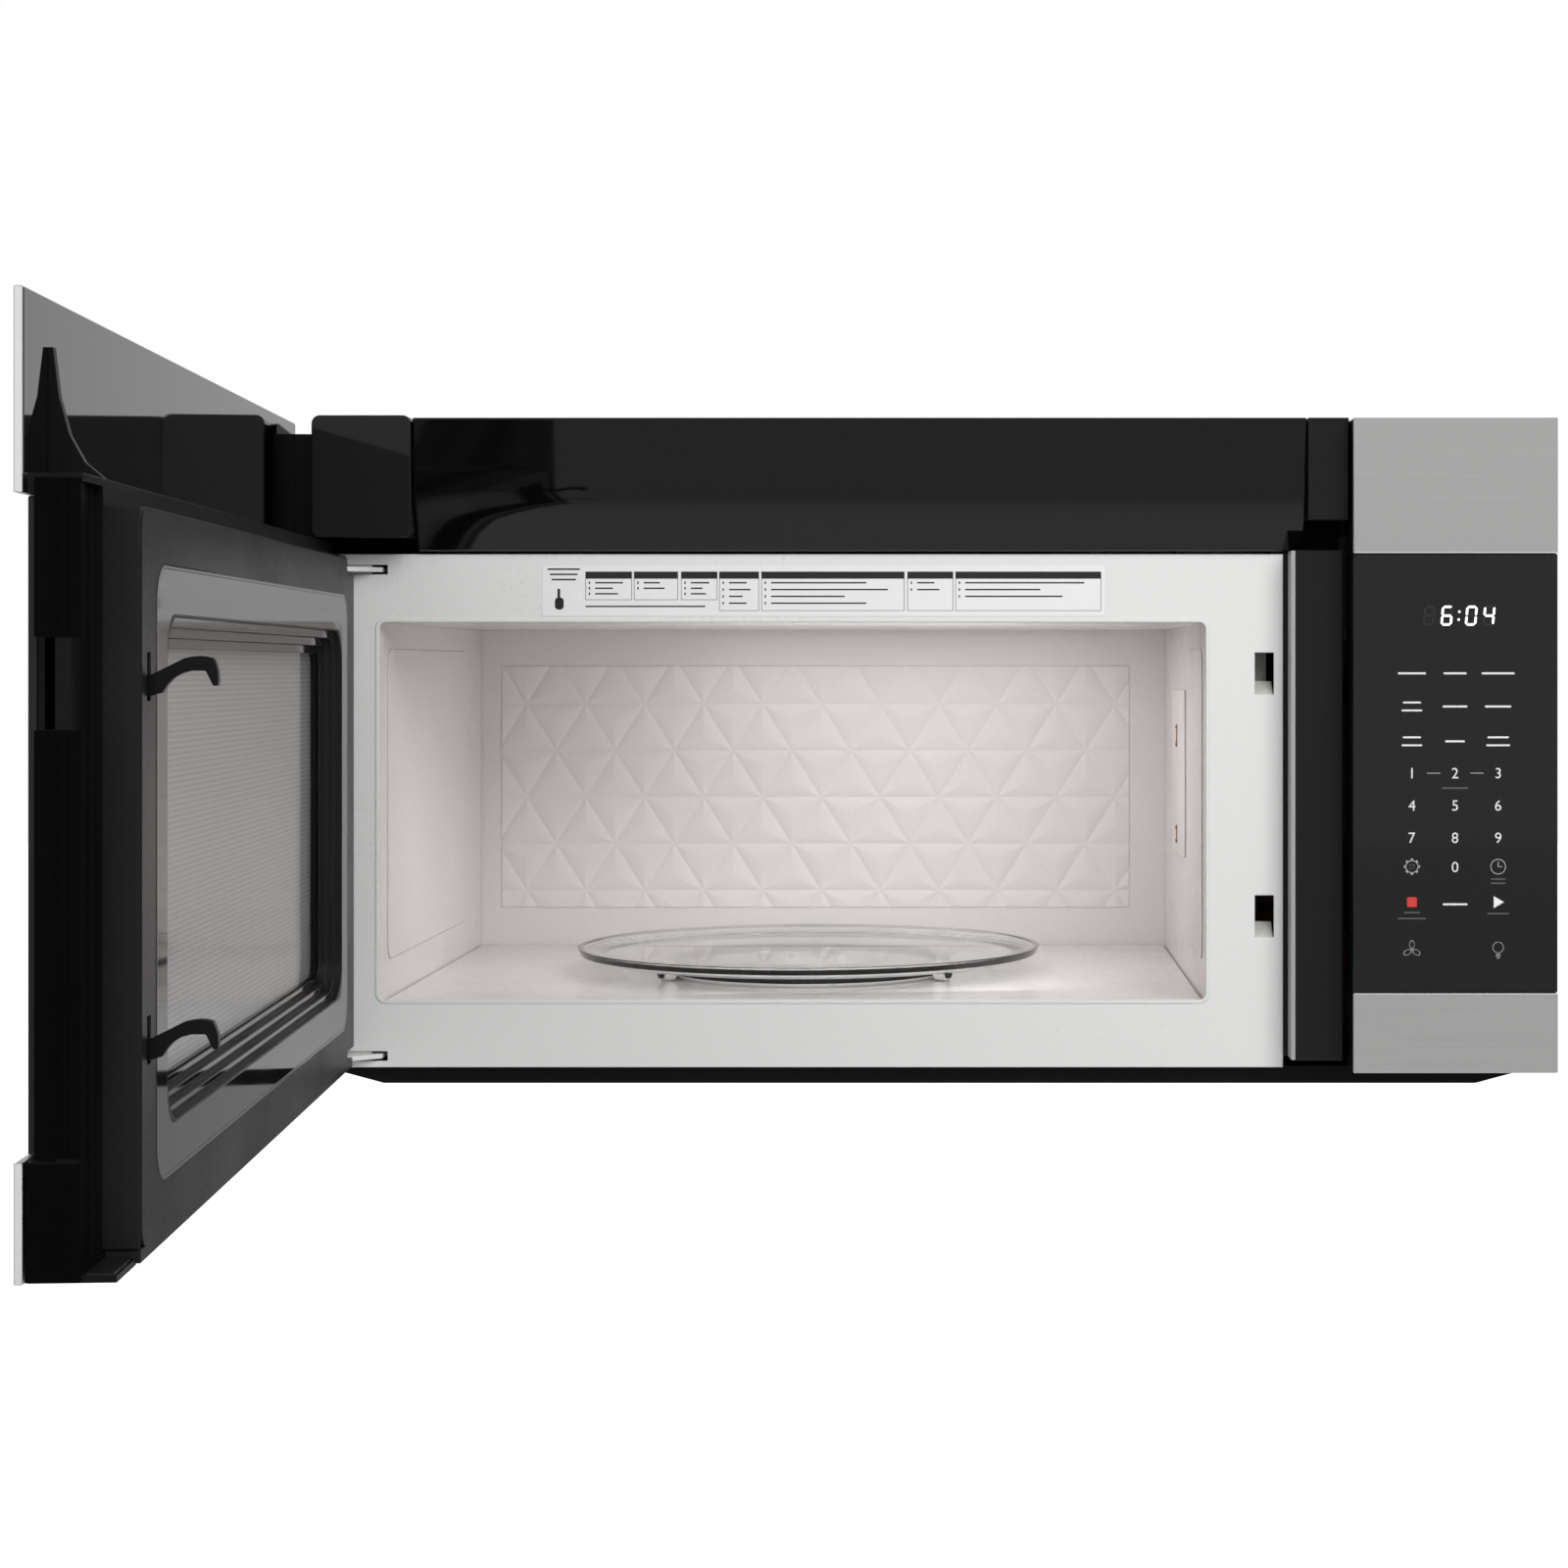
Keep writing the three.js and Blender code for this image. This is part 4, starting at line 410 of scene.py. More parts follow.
def rounded_ring(bm, x, y, z, width, radius, segments=6, edge=0.0, inner=None):
    """A flat ring along a rounded rectangle, from y[0] back to y[1]. The width runs inwards."""
    middle = Vector((x[0] + x[1], z[0] + z[1])) * MM / 2
    half = Vector((x[1] - x[0], z[1] - z[0])) * MM / 2
    inner_radius = inner or max(radius - width, LEAST_RADIUS)

    def pull_in(verts, depth):
        """Moves points of the outer edge to the inner one."""
        for vert in verts:
            spot = Vector((vert.co.x, vert.co.z))
            side = [math.copysign(1, spot[i] - middle[i]) for i in (0, 1)]
            old, new = (
                Vector([middle[i] + side[i] * (half[i] - inset * MM) for i in (0, 1)])
                for inset in (radius, width + inner_radius)
            )
            spot = new + (spot - old) * (inner_radius / radius)
            vert.co = (spot.x, depth * MM, spot.y)

    def push_back(verts):
        for vert in verts:
            vert.co.y = y[1] * MM

    before = set(bm.faces)
    outline(bm, x, z, y[0], radius, segments)
    face = faces_since(bm, before)[0]
    outer = list(face.edges)
    bmesh.ops.delete(bm, geom=[face], context="FACES_ONLY")
    front = bmesh.ops.extrude_edge_only(bm, edges=outer)
    back = bmesh.ops.extrude_edge_only(bm, edges=outer)
    pull_in(verts_of(front), y[0])
    push_back(verts_of(back))
    front_edges = edges_of(front)
    bore = verts_of(bmesh.ops.extrude_edge_only(bm, edges=front_edges))
    rear = verts_of(bmesh.ops.extrude_edge_only(bm, edges=edges_of(back)))
    push_back(bore)
    pull_in(rear, y[1])
    bmesh.ops.remove_doubles(bm, verts=bore + rear, dist=1e-6)
    if edge:
        soften(bm, [e for e in outer + front_edges if e.is_valid], edge)


def rod(bm, a, b, radius, segments=16, tip=None):
    """A round bar, or a cone, between two points in millimetres."""
    a, b = Vector(a) * MM, Vector(b) * MM
    turn = (b - a).to_track_quat("Z", "Y").to_matrix().to_4x4()
    made = bmesh.ops.create_cone(bm, cap_ends=True, segments=segments, radius1=radius * MM,
                                 radius2=(radius if tip is None else tip) * MM,
                                 depth=(b - a).length,
                                 matrix=Matrix.Translation((a + b) / 2) @ turn)
    return made["verts"]


def hex_screw(bm, x, z, rise=1.6):
    """A hexagonal screw head on its washer, standing out of the plane y = 0."""
    washer_radius, head_radius = 4.4, 2.9
    rod(bm, (x, OVERLAP, z), (x, -0.3 * rise, z), washer_radius, 24)
    head = rod(bm, (x, -0.25 * rise, z), (x, -rise, z), head_radius, 6)
    soften(bm, [e for e in edges_at(head) if level(e)], 0.2, 1)


def merge(bm, other, matrix):
    """Takes over all that another shape holds, placed by a matrix."""
    moved(other, matrix)
    mesh = mesh_of("scratch", other)
    bm.from_mesh(mesh)
    bpy.data.meshes.remove(mesh)


def at(x, z, y=0.0):
    """Moves a shape to a place in millimetres."""
    return Matrix.Translation(Vector((x, y, z)) * MM)


def piece(name, bm, body, material, replaces=(), crease=32):
    """Makes a finished piece of a shape: smooth where it is round, riding on its body."""
    bmesh.ops.recalc_face_normals(bm, faces=bm.faces)
    mesh = mesh_of(name, bm)
    mesh.materials.append(material)
    mesh.polygons.foreach_set("use_smooth", [True] * len(mesh.polygons))
    mesh.set_sharp_from_angle(angle=math.radians(crease))
    made = in_scene(name, mesh)
    shading = made.modifiers.new("even_shading", "WEIGHTED_NORMAL")
    shading.keep_sharp = True
    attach(made, body)
    if replaces:
        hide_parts(*replaces)


def eased(node, radius, segments=2, steep=25, reshape=None):
    """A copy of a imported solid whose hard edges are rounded."""
    bm = bmesh.new()
    bm.from_mesh(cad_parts[node].data)
    bmesh.ops.remove_doubles(bm, verts=bm.verts, dist=2e-6)
    bmesh.ops.dissolve_limit(bm, angle_limit=math.radians(1), verts=bm.verts, edges=bm.edges)
    if reshape:
        reshape(bm)
    hard = [e for e in bm.edges if e.is_manifold and e.calc_face_angle(0) > math.radians(steep)]
    soften(bm, hard, radius, segments, clamp_overlap=True)
    return bm


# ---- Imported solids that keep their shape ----
KEPT = {
    satin_black: ["cord_bushing", "cooling_fan_shroud", "blower_rotor", "interlock_switch_upper",
                  "interlock_switch_lower", "roller_ring"],
    galvanised: ["waveguide", "blower_housing", "turntable_motor"],
    cavity_enamel: ["cavity_left_wall", "cavity_right_wall", "cavity_ceiling", "cavity_floor",
                    "cavity_back_wall"],
    mica_sheet: ["waveguide_cover"],
    frosted: ["cavity_lamp", "cooktop_lamp_left", "cooktop_lamp_right", "lamp_cover_left",
              "lamp_cover_right"],
    board_green: ["control_board"],
    white_plastic: ["interlock_bracket", "interlock_lever", "turntable_coupler", "roller_1",
                    "roller_2", "roller_3", "cooling_fan_wheel"],
    aluminium: ["magnetron", "hv_capacitor", "grease_filter_left", "grease_filter_right"],
    copper: ["hv_transformer"],
    steel: ["blower_motor", "latch_spring"],
    carbon: ["charcoal_filter"],
    screen_paint: ["door_screen"],
    window_film: ["inner_window"],
}
for material, names in KEPT.items():
    for name in names:
        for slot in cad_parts[name].material_slots:
            slot.material = material


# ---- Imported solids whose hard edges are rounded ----
# Node, body, finish, slot, radius and number of segments.
EASED = (
    ("control_top_band", "case", stainless, "stainless", 0.7, 3),
    ("control_bottom_band", "case", stainless, "stainless", 0.7, 3),
    ("control_glass", "case", black_glass, "black_glass", 0.7, 3),
    ("door_top_band", "door", stainless, "stainless", 0.7, 3),
    ("door_bottom_band", "door", stainless, "stainless", 0.7, 3),
    ("door_glass", "door", black_glass, "black_glass", 0.7, 3),
    ("header_end_cap", "case", gloss_black, "gloss_black", 2.0, 2),
    ("bay_frame", "case", satin_black, "black_plastic", 0.6, 2),
    ("control_housing", "case", satin_black, "black_plastic", 0.6, 2),
    ("case_top", "case", galvanised, "galvanised_steel", 0.4, 2),
    ("back_panel", "case", galvanised, "galvanised_steel", 0.3, 2),
    ("case_left_side", "case", black_paint, "black_paint", 0.4, 2),
    ("case_right_side", "case", black_paint, "black_paint", 0.4, 2),
    ("base_pan", "case", black_paint, "black_paint", 0.4, 2),
    ("front_frame", "case", white_enamel, "white_paint", 0.5, 2),
    ("hinge_arm_upper", "case", white_enamel, "white_paint", 0.4, 2),
    ("hinge_arm_lower", "case", white_enamel, "white_paint", 0.4, 2),
    ("door_frame", "door", door_black, "black_plastic", 0.5, 2),
    ("choke_cover", "door", cover_black, "black_plastic", 0.8, 2),
    ("door_latch", "latch", door_black, "black_plastic", 0.4, 2),
    ("glass_tray", "tray", clear_glass, "clear_glass", 0.6, 2),
)
for node, body, material, slot, radius, segments in EASED:
    piece(node + "_eased", eased(node, radius, segments), body, material, [node])

# Height and depth behind the front of the header's section, before and after it is drawn as one
# long curve.
HEADER_CURVE = (
    ((176.0, 17.0), (176.0, 19.2)), ((162.0, 18.4), (162.0, 21.6)),
    ((152.0, 22.8), (152.0, 24.6)), ((146.0, 29.9), (145.0, 27.9)),
    ((144.0, 40.0), (137.0, 32.4)), ((126.0, 40.0), (126.0, 39.6)),
)
HEADER_WALL = 2.5


def sweep_header(bm):
    """Leans the header's face back in one long curve towards its foot."""
    for (old_z, old_depth), (new_z, new_depth) in HEADER_CURVE:
        for wall in (0.0, HEADER_WALL):
            row = [v for v in bm.verts if abs(v.co.z / MM - old_z) < 0.3
                   and abs(v.co.y / MM - FRONT - old_depth - wall) < 0.3]
            shift = Vector((0, new_depth - old_depth, new_z - old_z)) * MM
            bmesh.ops.translate(bm, vec=shift, verts=row)


def header():
    """The glossy header over the cavity."""
    shell = eased("header_panel", 1.2, steep=40, reshape=sweep_header)
    piece("header_shell", shell, "case", gloss_black, ["header_panel"], crease=36)


header()


# ---- Door ----
# The window's clear opening in the closed door, its corners, and the ledges around it.
VIEW = {"x": (-299.5, 157.5), "z": (-127.5, 62.5)}
VIEW_CORNER = 8.0
LEDGE, LEDGE_DEPTH, LEDGE_RISE = 4.5, 31.0, 3.7

BAND_HEIGHTS = ((123.2, 204.5), (-189.9, -142.2))
BAND_LIPS = ((123.15, 123.95), (-142.95, -142.2))  # where the bands meet the glass
INNER_FACE = 42.1  # depth of the choke cover's face
FREE_EDGE = 255.3
RIB_RUNS = ((-140.5, 29.0), (66.0, 129.0))  # the ribs leave the latch's opening free


def behind_front(*depths):
    """Places that lie a depth behind the front plane."""
    return tuple(FRONT + depth for depth in depths)


def door_piece(name, bm, material):
    """Swings a piece of the closed door to where the open door holds it."""
    moved(bm, Matrix.Translation(HINGE) @ Matrix.Rotation(DOOR_ANGLE, 4, "Z")
          @ Matrix.Translation(-HINGE))
    piece(name, bm, "door", material)


def band_backing():
    """The steel band over the door is backed by a glossy black sheet."""
    bm = bmesh.new()
    rounded_plate(bm, (-378.6, 254.8), behind_front(3.72, 4.1), (131.3, 204.2), 0.8, 3)
    door_piece("top_band_backing", bm, band_back)


def band_end_highlights():
    """The bands' folded ends along the door's free edge, in a pale finish that paints the highlight
    they catch.
    """
    bm = bmesh.new()
    for height in BAND_HEIGHTS:
        block(bm, (FREE_EDGE + 0.15, FREE_EDGE + 0.45), behind_front(0.5, 3.5), height, 0.12)
    door_piece("band_folded_end_highlights", bm, stainless_highlight)


def door_lower_flange():
    """A flange closes the gap between the choke cover and the door's bottom plate."""
    bm = bmesh.new()
    block(bm, (-360.5, 219.4), behind_front(27.0, 41.6), (-189.6, -184.1), 0.4)
    block(bm, (219.0, 253.0), behind_front(27.0, 38.6), (-189.6, -186.5), 0.4)
    door_piece("door_lower_flange", bm, cover_black)


def inner_face_ring():
    """A glossy margin with a fine raised lip runs around the window on the inner face."""
    plate = bmesh.new()
    rounded_ring(plate, (-333, 191), behind_front(42.35, INNER_FACE), (-161, 96), 19.2, 15, 8,
                 0.1, inner=15)
    door_piece("window_margin", plate, margin_black)
    lip = bmesh.new()
    rounded_ring(lip, (-334.8, 192.8), behind_front(42.42, INNER_FACE), (-162.8, 97.8), 1.8,
                 16.8, 8, 0.2)
    door_piece("window_margin_lip", lip, gloss_black)


def window_ledges():
    """The three ledges that step down to the window are polished."""
    bm = bmesh.new()
    for step in range(3):
        inset, depth = LEDGE * (step + 1) - 0.1, LEDGE_DEPTH + LEDGE_RISE * step
        x, z = ((VIEW[axis][0] - inset, VIEW[axis][1] + inset) for axis in "xz")
        rounded_ring(bm, x, behind_front(depth + 0.2, depth - 0.1), z, LEDGE - 0.2,
                     VIEW_CORNER + inset, 6, 0.08, inner=VIEW_CORNER + inset - LEDGE + 0.2)
    door_piece("window_ledges", bm, margin_black)


def highlight_lips(x):
    """Strips along the folded edges of the two steel bands, where they meet the glass, which carry
    a painted highlight.
    """
    bm = bmesh.new()
    for height in BAND_LIPS:
        block(bm, x, behind_front(-0.05, 1.0), height, 0.2)
    return bm


def band_edge_highlights():
    """The bands of the door and of the control panel have such painted edge highlights alike."""
    door_piece("door_band_edge_highlights", highlight_lips((-379.2, 255.2)), stainless_highlight)
    piece("control_band_edge_highlights", highlight_lips((256.8, 379.2)), "case", stainless_highlight)


def free_edge_cladding():
    """A plain wall closes the door's free side, next to a grooved channel along the edge."""
    wall = bmesh.new()
    block(wall, (219.65, 220.5), behind_front(22.1, 41.6), (-183.6, 119.6), 0.3)
    door_piece("free_side_wall", wall, cover_black)
    channel = bmesh.new()
    for start, end, proud in ((8.1, 9.8, 0.35), (16.6, 17.4, 0.5), (21.4, 26.4, 0.25)):
        for run in RIB_RUNS:
            block(channel, (FREE_EDGE, 255.5 + proud), behind_front(start, end), run, 0.15)
    for run in RIB_RUNS:
        block(channel, (FREE_EDGE, 255.62), behind_front(9.9, 21.3), run, 0.05)
    block(channel, (FREE_EDGE, 255.62), behind_front(4.4, 26.0), (-189.4, -142.6), 0.05)
    door_piece("free_edge_ribs", channel, dull_black_and_shade)


band_backing()
band_end_highlights()
door_lower_flange()
inner_face_ring()
window_ledges()
band_edge_highlights()
free_edge_cladding()


# ---- Touch panel ----
# The marks stand in three columns. PRINT is how deep they reach.
COLUMNS = (291.5, 317.5, 343.5)
PRINT = (GLASS_FRONT - 0.04, GLASS_FRONT + 0.02)
PRINT_MIDDLE = (PRINT[0] + PRINT[1]) / 2

# Rows of program names: height, the bars' widths, and the columns with a name on two lines.
PROGRAM_ROWS = (
    (50.7, (17, 14, 20), ()),
    (30.7, (11, 15, 16), (0,)),
    (9.7, (11, 12, 13), (0, 2)),
)
# Column, height, width and thickness of the darker bars.
QUIET_BARS = ((1, -18.5, 16, 1.1), (2, -73.4, 9, 1.0), (2, -75.9, 9, 1.0), (0, -93.6, 10, 1.0),
              (0, -97.2, 17, 1.0), (2, -94.2, 13, 1.0))
NUMERAL_ROWS = (-9.5, -29.0, -48.5)
NUMERAL_HEIGHT = 6.3
HAIRLINE = 0.5


def bar(bm, x, z, width, height, radius=None):
    """A printed bar centred on x and z, with round ends unless a radius is given."""
    rounded_plate(bm, (x - width / 2, x + width / 2), PRINT, (z - height / 2, z + height / 2),
                  min(width, height) * 0.45 if radius is None else radius, 3)


def circle_ring(bm, x, z, outer, inner, sides=32):
    """A flat printed ring on the panel."""
    loops = []
    for radius, depth in ((outer, PRINT[0]), (inner, PRINT[0]), (inner, PRINT[1]),
                          (outer, PRINT[1])):
        made = bmesh.ops.create_circle(bm, segments=sides, radius=radius * MM,
                                       matrix=at(x, z, depth) @ STAND_UP)
        loops.append(edges_at(made["verts"]))
    for a, b in zip(loops, loops[1:] + loops[:1]):
        bmesh.ops.bridge_loops(bm, edges=a + b)


def numeral(bm, text, x, z):
    """A numeral printed on the panel, centred on x and z."""
    curve = bpy.data.curves.new("numeral", "FONT")
    curve.body = text
    curve.extrude = 0.02
    holder = in_scene("numeral", curve)
    bpy.context.view_layer.update()
    evaluated = holder.evaluated_get(bpy.context.evaluated_depsgraph_get())
    mesh = bpy.data.meshes.new_from_object(evaluated)
    bpy.data.objects.remove(holder)
    bpy.data.curves.remove(curve)
    fresh = bmesh.new()
    fresh.from_mesh(mesh)
    bpy.data.meshes.remove(mesh)
    bmesh.ops.remove_doubles(fresh, verts=fresh.verts, dist=1e-5)
    low = Vector([min(v.co[i] for v in fresh.verts) for i in range(3)])
    high = Vector([max(v.co[i] for v in fresh.verts) for i in range(3)])
    scale = NUMERAL_HEIGHT * MM / (high.y - low.y)
    flatten = (PRINT[1] - PRINT[0]) * MM / (high.z - low.z)
    merge(bm, fresh, at(x, z, PRINT_MIDDLE) @ STAND_UP
          @ Matrix.Diagonal((scale, scale, flatten, 1)) @ Matrix.Translation(-(low + high) / 2))


def printed(name, bm, material):
    piece(name, bm, "case", material)


def key_words():
    """Short bars stand where the touch panel names its programs."""
    bm = bmesh.new()
    for z, widths, doubled in PROGRAM_ROWS:
        for column, (x, width) in enumerate(zip(COLUMNS, widths)):
            if column in doubled:
                bar(bm, x, z + 2.4, width, 1.1)
                bar(bm, x, z - 2.4, width + 1.5, 1.1)
            else:
                bar(bm, x, z, width, 1.2)
    bar(bm, COLUMNS[1], -88.6, 15, 1.2)
    printed("program_bars", bm, ink_white)
    quiet = bmesh.new()
    for column, z, width, height in QUIET_BARS:
        bar(quiet, COLUMNS[column], z, width, height)
    printed("quiet_bars", quiet, ink_dim)


def keypad_numerals():
    """The digits in their rows, with dashes between those of the first row."""
    bm = bmesh.new()
    for row, z in enumerate(NUMERAL_ROWS):
        for column, x in enumerate(COLUMNS):
            numeral(bm, str(3 * row + column + 1), x, z)
    numeral(bm, "0", COLUMNS[1], -66.1)
    printed("keypad_numerals", bm, ink_white)
    dashes = bmesh.new()
    for x in (304.6, 330.6):
        bar(dashes, x, NUMERAL_ROWS[0], 8.0, HAIRLINE, 0.1)
    printed("keypad_dashes", dashes, ink_grey)


def stop_and_start():
    """A square for stop and a triangle for start."""
    z = -87.3
    bm = bmesh.new()
    bar(bm, COLUMNS[0], z, 6.0, 6.0, 1.0)
    printed("stop_square", bm, ink_red)
    start = bmesh.new()
    radius = 4.2 * MM
    bmesh.ops.create_cone(start, cap_ends=True, segments=3, radius1=radius, radius2=radius,
                          depth=(PRINT[1] - PRINT[0]) * MM,
                          matrix=at(COLUMNS[2] - 0.6, z, PRINT_MIDDLE) @ STAND_UP
                          @ Matrix.Rotation(-math.pi / 2, 4, "Z"))
    printed("start_triangle", start, ink_white)


def cogwheel(bm, x, z):
    circle_ring(bm, x, z, 3.9, 3.3)
    circle_ring(bm, x, z, 1.7, 1.2)
    for step in range(8):
        tooth = bmesh.new()
        bar(tooth, 0, 4.3, 1.5, 1.1, 0.2)
        merge(bm, tooth, at(x, z) @ Matrix.Rotation(step * math.pi / 4, 4, "Y"))


def clock_face(bm, x, z):
    circle_ring(bm, x, z, 4.7, 4.2)
    bar(bm, x, z + 1.5, HAIRLINE, 3.2, 0.1)
    bar(bm, x + 1.2, z, 2.6, HAIRLINE, 0.1)


def fan(bm, x, z):
    circle_ring(bm, x, z, 0.8, 0.35, 16)
    for step in range(3):
        blade = bmesh.new()
        circle_ring(blade, 0, 0, 2.6, 2.15, 24)
        moved(blade, Matrix.Diagonal((0.62, 1, 1, 1)))
        moved(blade, at(0, 3.1))
        merge(bm, blade, at(x, z) @ Matrix.Rotation(step * 2 * math.pi / 3, 4, "Y"))


def lamp_bulb(bm, x, z):
    circle_ring(bm, x, z + 1.4, 3.4, 2.95)
    for drop, width in ((2.8, 2.9), (3.9, 2.9), (5.0, 1.6)):
        bar(bm, x, z - drop, width, HAIRLINE, 0.1)


def settings_icons():
    """Plain icons stand for settings, clock, hood fan and cooktop lamp."""
    bm = bmesh.new()
    cogwheel(bm, COLUMNS[0], -65.9)
    clock_face(bm, COLUMNS[2], -65.9)
    fan(bm, COLUMNS[0], -116.0)
    lamp_bulb(bm, COLUMNS[2], -116.0)
    printed("settings_icons", bm, ink_grey)


# ---- Clock display ----
SEGMENTS = {"0": "abcdef", "4": "bcfg", "6": "acdefg", "8": "abcdefg"}
DIGIT_WIDTH, DIGIT_HEIGHT, STROKE = 6.9, 12.0, 1.35
DIGIT_PLACES = (301.8, 312.6, 327.3, 338.0)
COLON_PLACE = 319.9
CLOCK_HEIGHT = 85.5
LEAN = 0.09  # how far the digits lean to the right


def segment(bm, x, z, length, is_level):
    """One bar of a seven-segment digit, with pointed ends."""
    fresh = bmesh.new()
    rounded_plate(fresh, (-length / 2, length / 2), PRINT, (-STROKE / 2, STROKE / 2),
                  STROKE * 0.45, 1)
    merge(bm, fresh, at(x, z) @ Matrix.Rotation(0.0 if is_level else math.pi / 2, 4, "Y"))


def digit(bm, shown, x):
    """Segments of a digit whose middle is at x, leaning a little to the right."""
    fresh = bmesh.new()
    half_w, half_h = (DIGIT_WIDTH - STROKE) / 2, (DIGIT_HEIGHT - STROKE) / 2
    places = {
        "a": (0, half_h, True), "g": (0, 0, True), "d": (0, -half_h, True),
        "f": (-half_w, half_h / 2, False), "b": (half_w, half_h / 2, False),
        "e": (-half_w, -half_h / 2, False), "c": (half_w, -half_h / 2, False),
    }
    for letter in shown:
        px, pz, is_level = places[letter]
        segment(fresh, px, pz, (2 * half_w if is_level else half_h) - 0.5, is_level)
    lean = Matrix.Identity(4)
    lean[0][2] = LEAN
    merge(bm, fresh, at(x, CLOCK_HEIGHT) @ lean)


def clock_display():
    """The time in lit segments, and the segments that stay dark."""
    lit = bmesh.new()
    for x, figure in zip(DIGIT_PLACES[1:], "604"):
        digit(lit, SEGMENTS[figure], x)
    for rise in (2.4, -2.4):
        bar(lit, COLON_PLACE + LEAN * rise, CLOCK_HEIGHT + rise, 1.3, 1.3, 0.3)
    printed("display_lit_segments", lit, lit_segment)
    unlit = bmesh.new()
    for x, shown in zip(DIGIT_PLACES, (SEGMENTS["8"], "b", "g", "ade")):
        digit(unlit, shown, x)
    printed("display_unlit_segments", unlit, dim_segment)


key_words()
keypad_numerals()
stop_and_start()
settings_icons()
clock_display()


# ---- Front frame: lip of the cavity, programme chart, switch bay ----
CHART_INK = (FRAME_FRONT - 0.16, FRAME_FRONT - 0.1)
CHART_TOP, CHART_TITLE, CHART_FIRST_ROW = 113.5, 111.3, 106.6
CHART_RULE = 0.3
# Foot of the boxes, distance of their rows, and each box's left and right side and rows.
CHART_BOXES = (
    (96.1, 3.4, ((-212.6, -183.9, 3), (-182.6, -155.4, 2), (-153.5, -131.1, 3))),
    (89.4, 4.2, ((-129.9, -105.4, 4), (-103.9, -15.5, 4), (-13.7, 14.6, 2), (16.0, 106.0, 3))),
)


def cavity_lip():
    """A rolled edge stands out a little around the cavity's mouth."""
    bm = bmesh.new()
    width = 2.4
    x, z = ((low - width, high + width) for low, high in (CAVITY["x"], MOUTH))
    rounded_ring(bm, x, (FRAME_FRONT - 0.45, FRAME_FRONT + OVERLAP), z, width, 6.4, 6, 0.25)
    piece("cavity_mouth_lip", bm, "case", white_enamel)


def programme_chart():
    """A plain printed chart over the cavity: a sheet, title bars and rows of short bars."""
    sheet = bmesh.new()
    rounded_plate(sheet, (-239.5, 108.7), (FRAME_FRONT - 0.12, FRAME_FRONT + 0.05),
                  (85.8, 117.3), 1.5, 4)
    piece("chart_sheet", sheet, "case", chart_white)
    ink = bmesh.new()

    def mark(x, z, width, height):
        block(ink, (x, x + width), CHART_INK, (z - height / 2, z + height / 2))

    for foot, pitch, boxes in CHART_BOXES:
        for left, right, rows in boxes:
            width = right - left
            mark(left, CHART_TITLE, width, 4.4)
            for side in (left, right - CHART_RULE):
                mark(side, (CHART_TOP + foot) / 2, CHART_RULE, CHART_TOP - foot)
            mark(left, foot, width, CHART_RULE)
            for row in range(rows):
                z = CHART_FIRST_ROW - row * pitch
                mark(left + 2.0, z, 0.9, 1.5)
                mark(left + 6.0, z, (width - 10) * (0.92 - 0.17 * ((row * 2 + rows) % 3)), 0.9)
    mark(-212.6, 92.0, 74.0, 0.9)
    for row, width in enumerate((20, 17, 15)):
        mark(-236.0 + (20 - width) / 2, 115.0 - 3.2 * row, width, 1.0)
    piece("chart_print", ink, "case", ink_black)
    hand = bmesh.new()
    rounded_plate(hand, (-231.5, -226.0), CHART_INK, (90.0, 97.5), 2.2, 4)
    rounded_plate(hand, (-229.9, -228.2), CHART_INK, (96.0, 103.0), 0.8, 3)
    piece("chart_hand", hand, "case", ink_black)


def bay_side():
    """The switch bay's side towards the cavity is a lighter sheet."""
    bm = bmesh.new()
    height = (-185.6, 125.6)
    block(bm, (221.3, 221.62), (FRONT + 23.9, FRAME_FRONT - 0.2), height, 0.08)
    block(bm, (221.3, 223.8), behind_front(23.8, 24.1), height, 0.08)
    piece("bay_side_sheet", bm, "case", edge_grey)


def notch_shade_plate():
    """A dull black plate behind the notch under the header's right end, which paints the shade of
    that recess.
    """
    bm = bmesh.new()
    block(bm, (230.8, 252.6), behind_front(45.5, 46.05), (126.3, 143.7), 0.1)
    piece("notch_shade_plate", bm, "case", dull_black_and_shade)


cavity_lip()
programme_chart()
bay_side()
notch_shade_plate()


# ---- Cavity ----
# The pressing in the back wall: triangles a pitch wide and a row high, cut off at the field's rim.
FACET_PITCH, FACET_ROW, FACET_PEAK = 44.0, 34.8, 0.3
FACET_COLUMNS, FACET_ROWS = 13, 6
FACET_MIDDLE = (-1.6, -42.3)  # across from the cavity's middle, and height
FACET_RIM = ((0, -325.0, -1), (0, 144.5, 1), (2, -125.0, -1), (2, 56.0, 1))

# The round well in which the rollers run: its rim, its foot, and the floor's rise around it.
WELL_RIM, WELL_FOOT, WELL_DEPTH = 127, 125, 1.1
STEP_DROP = 1.15


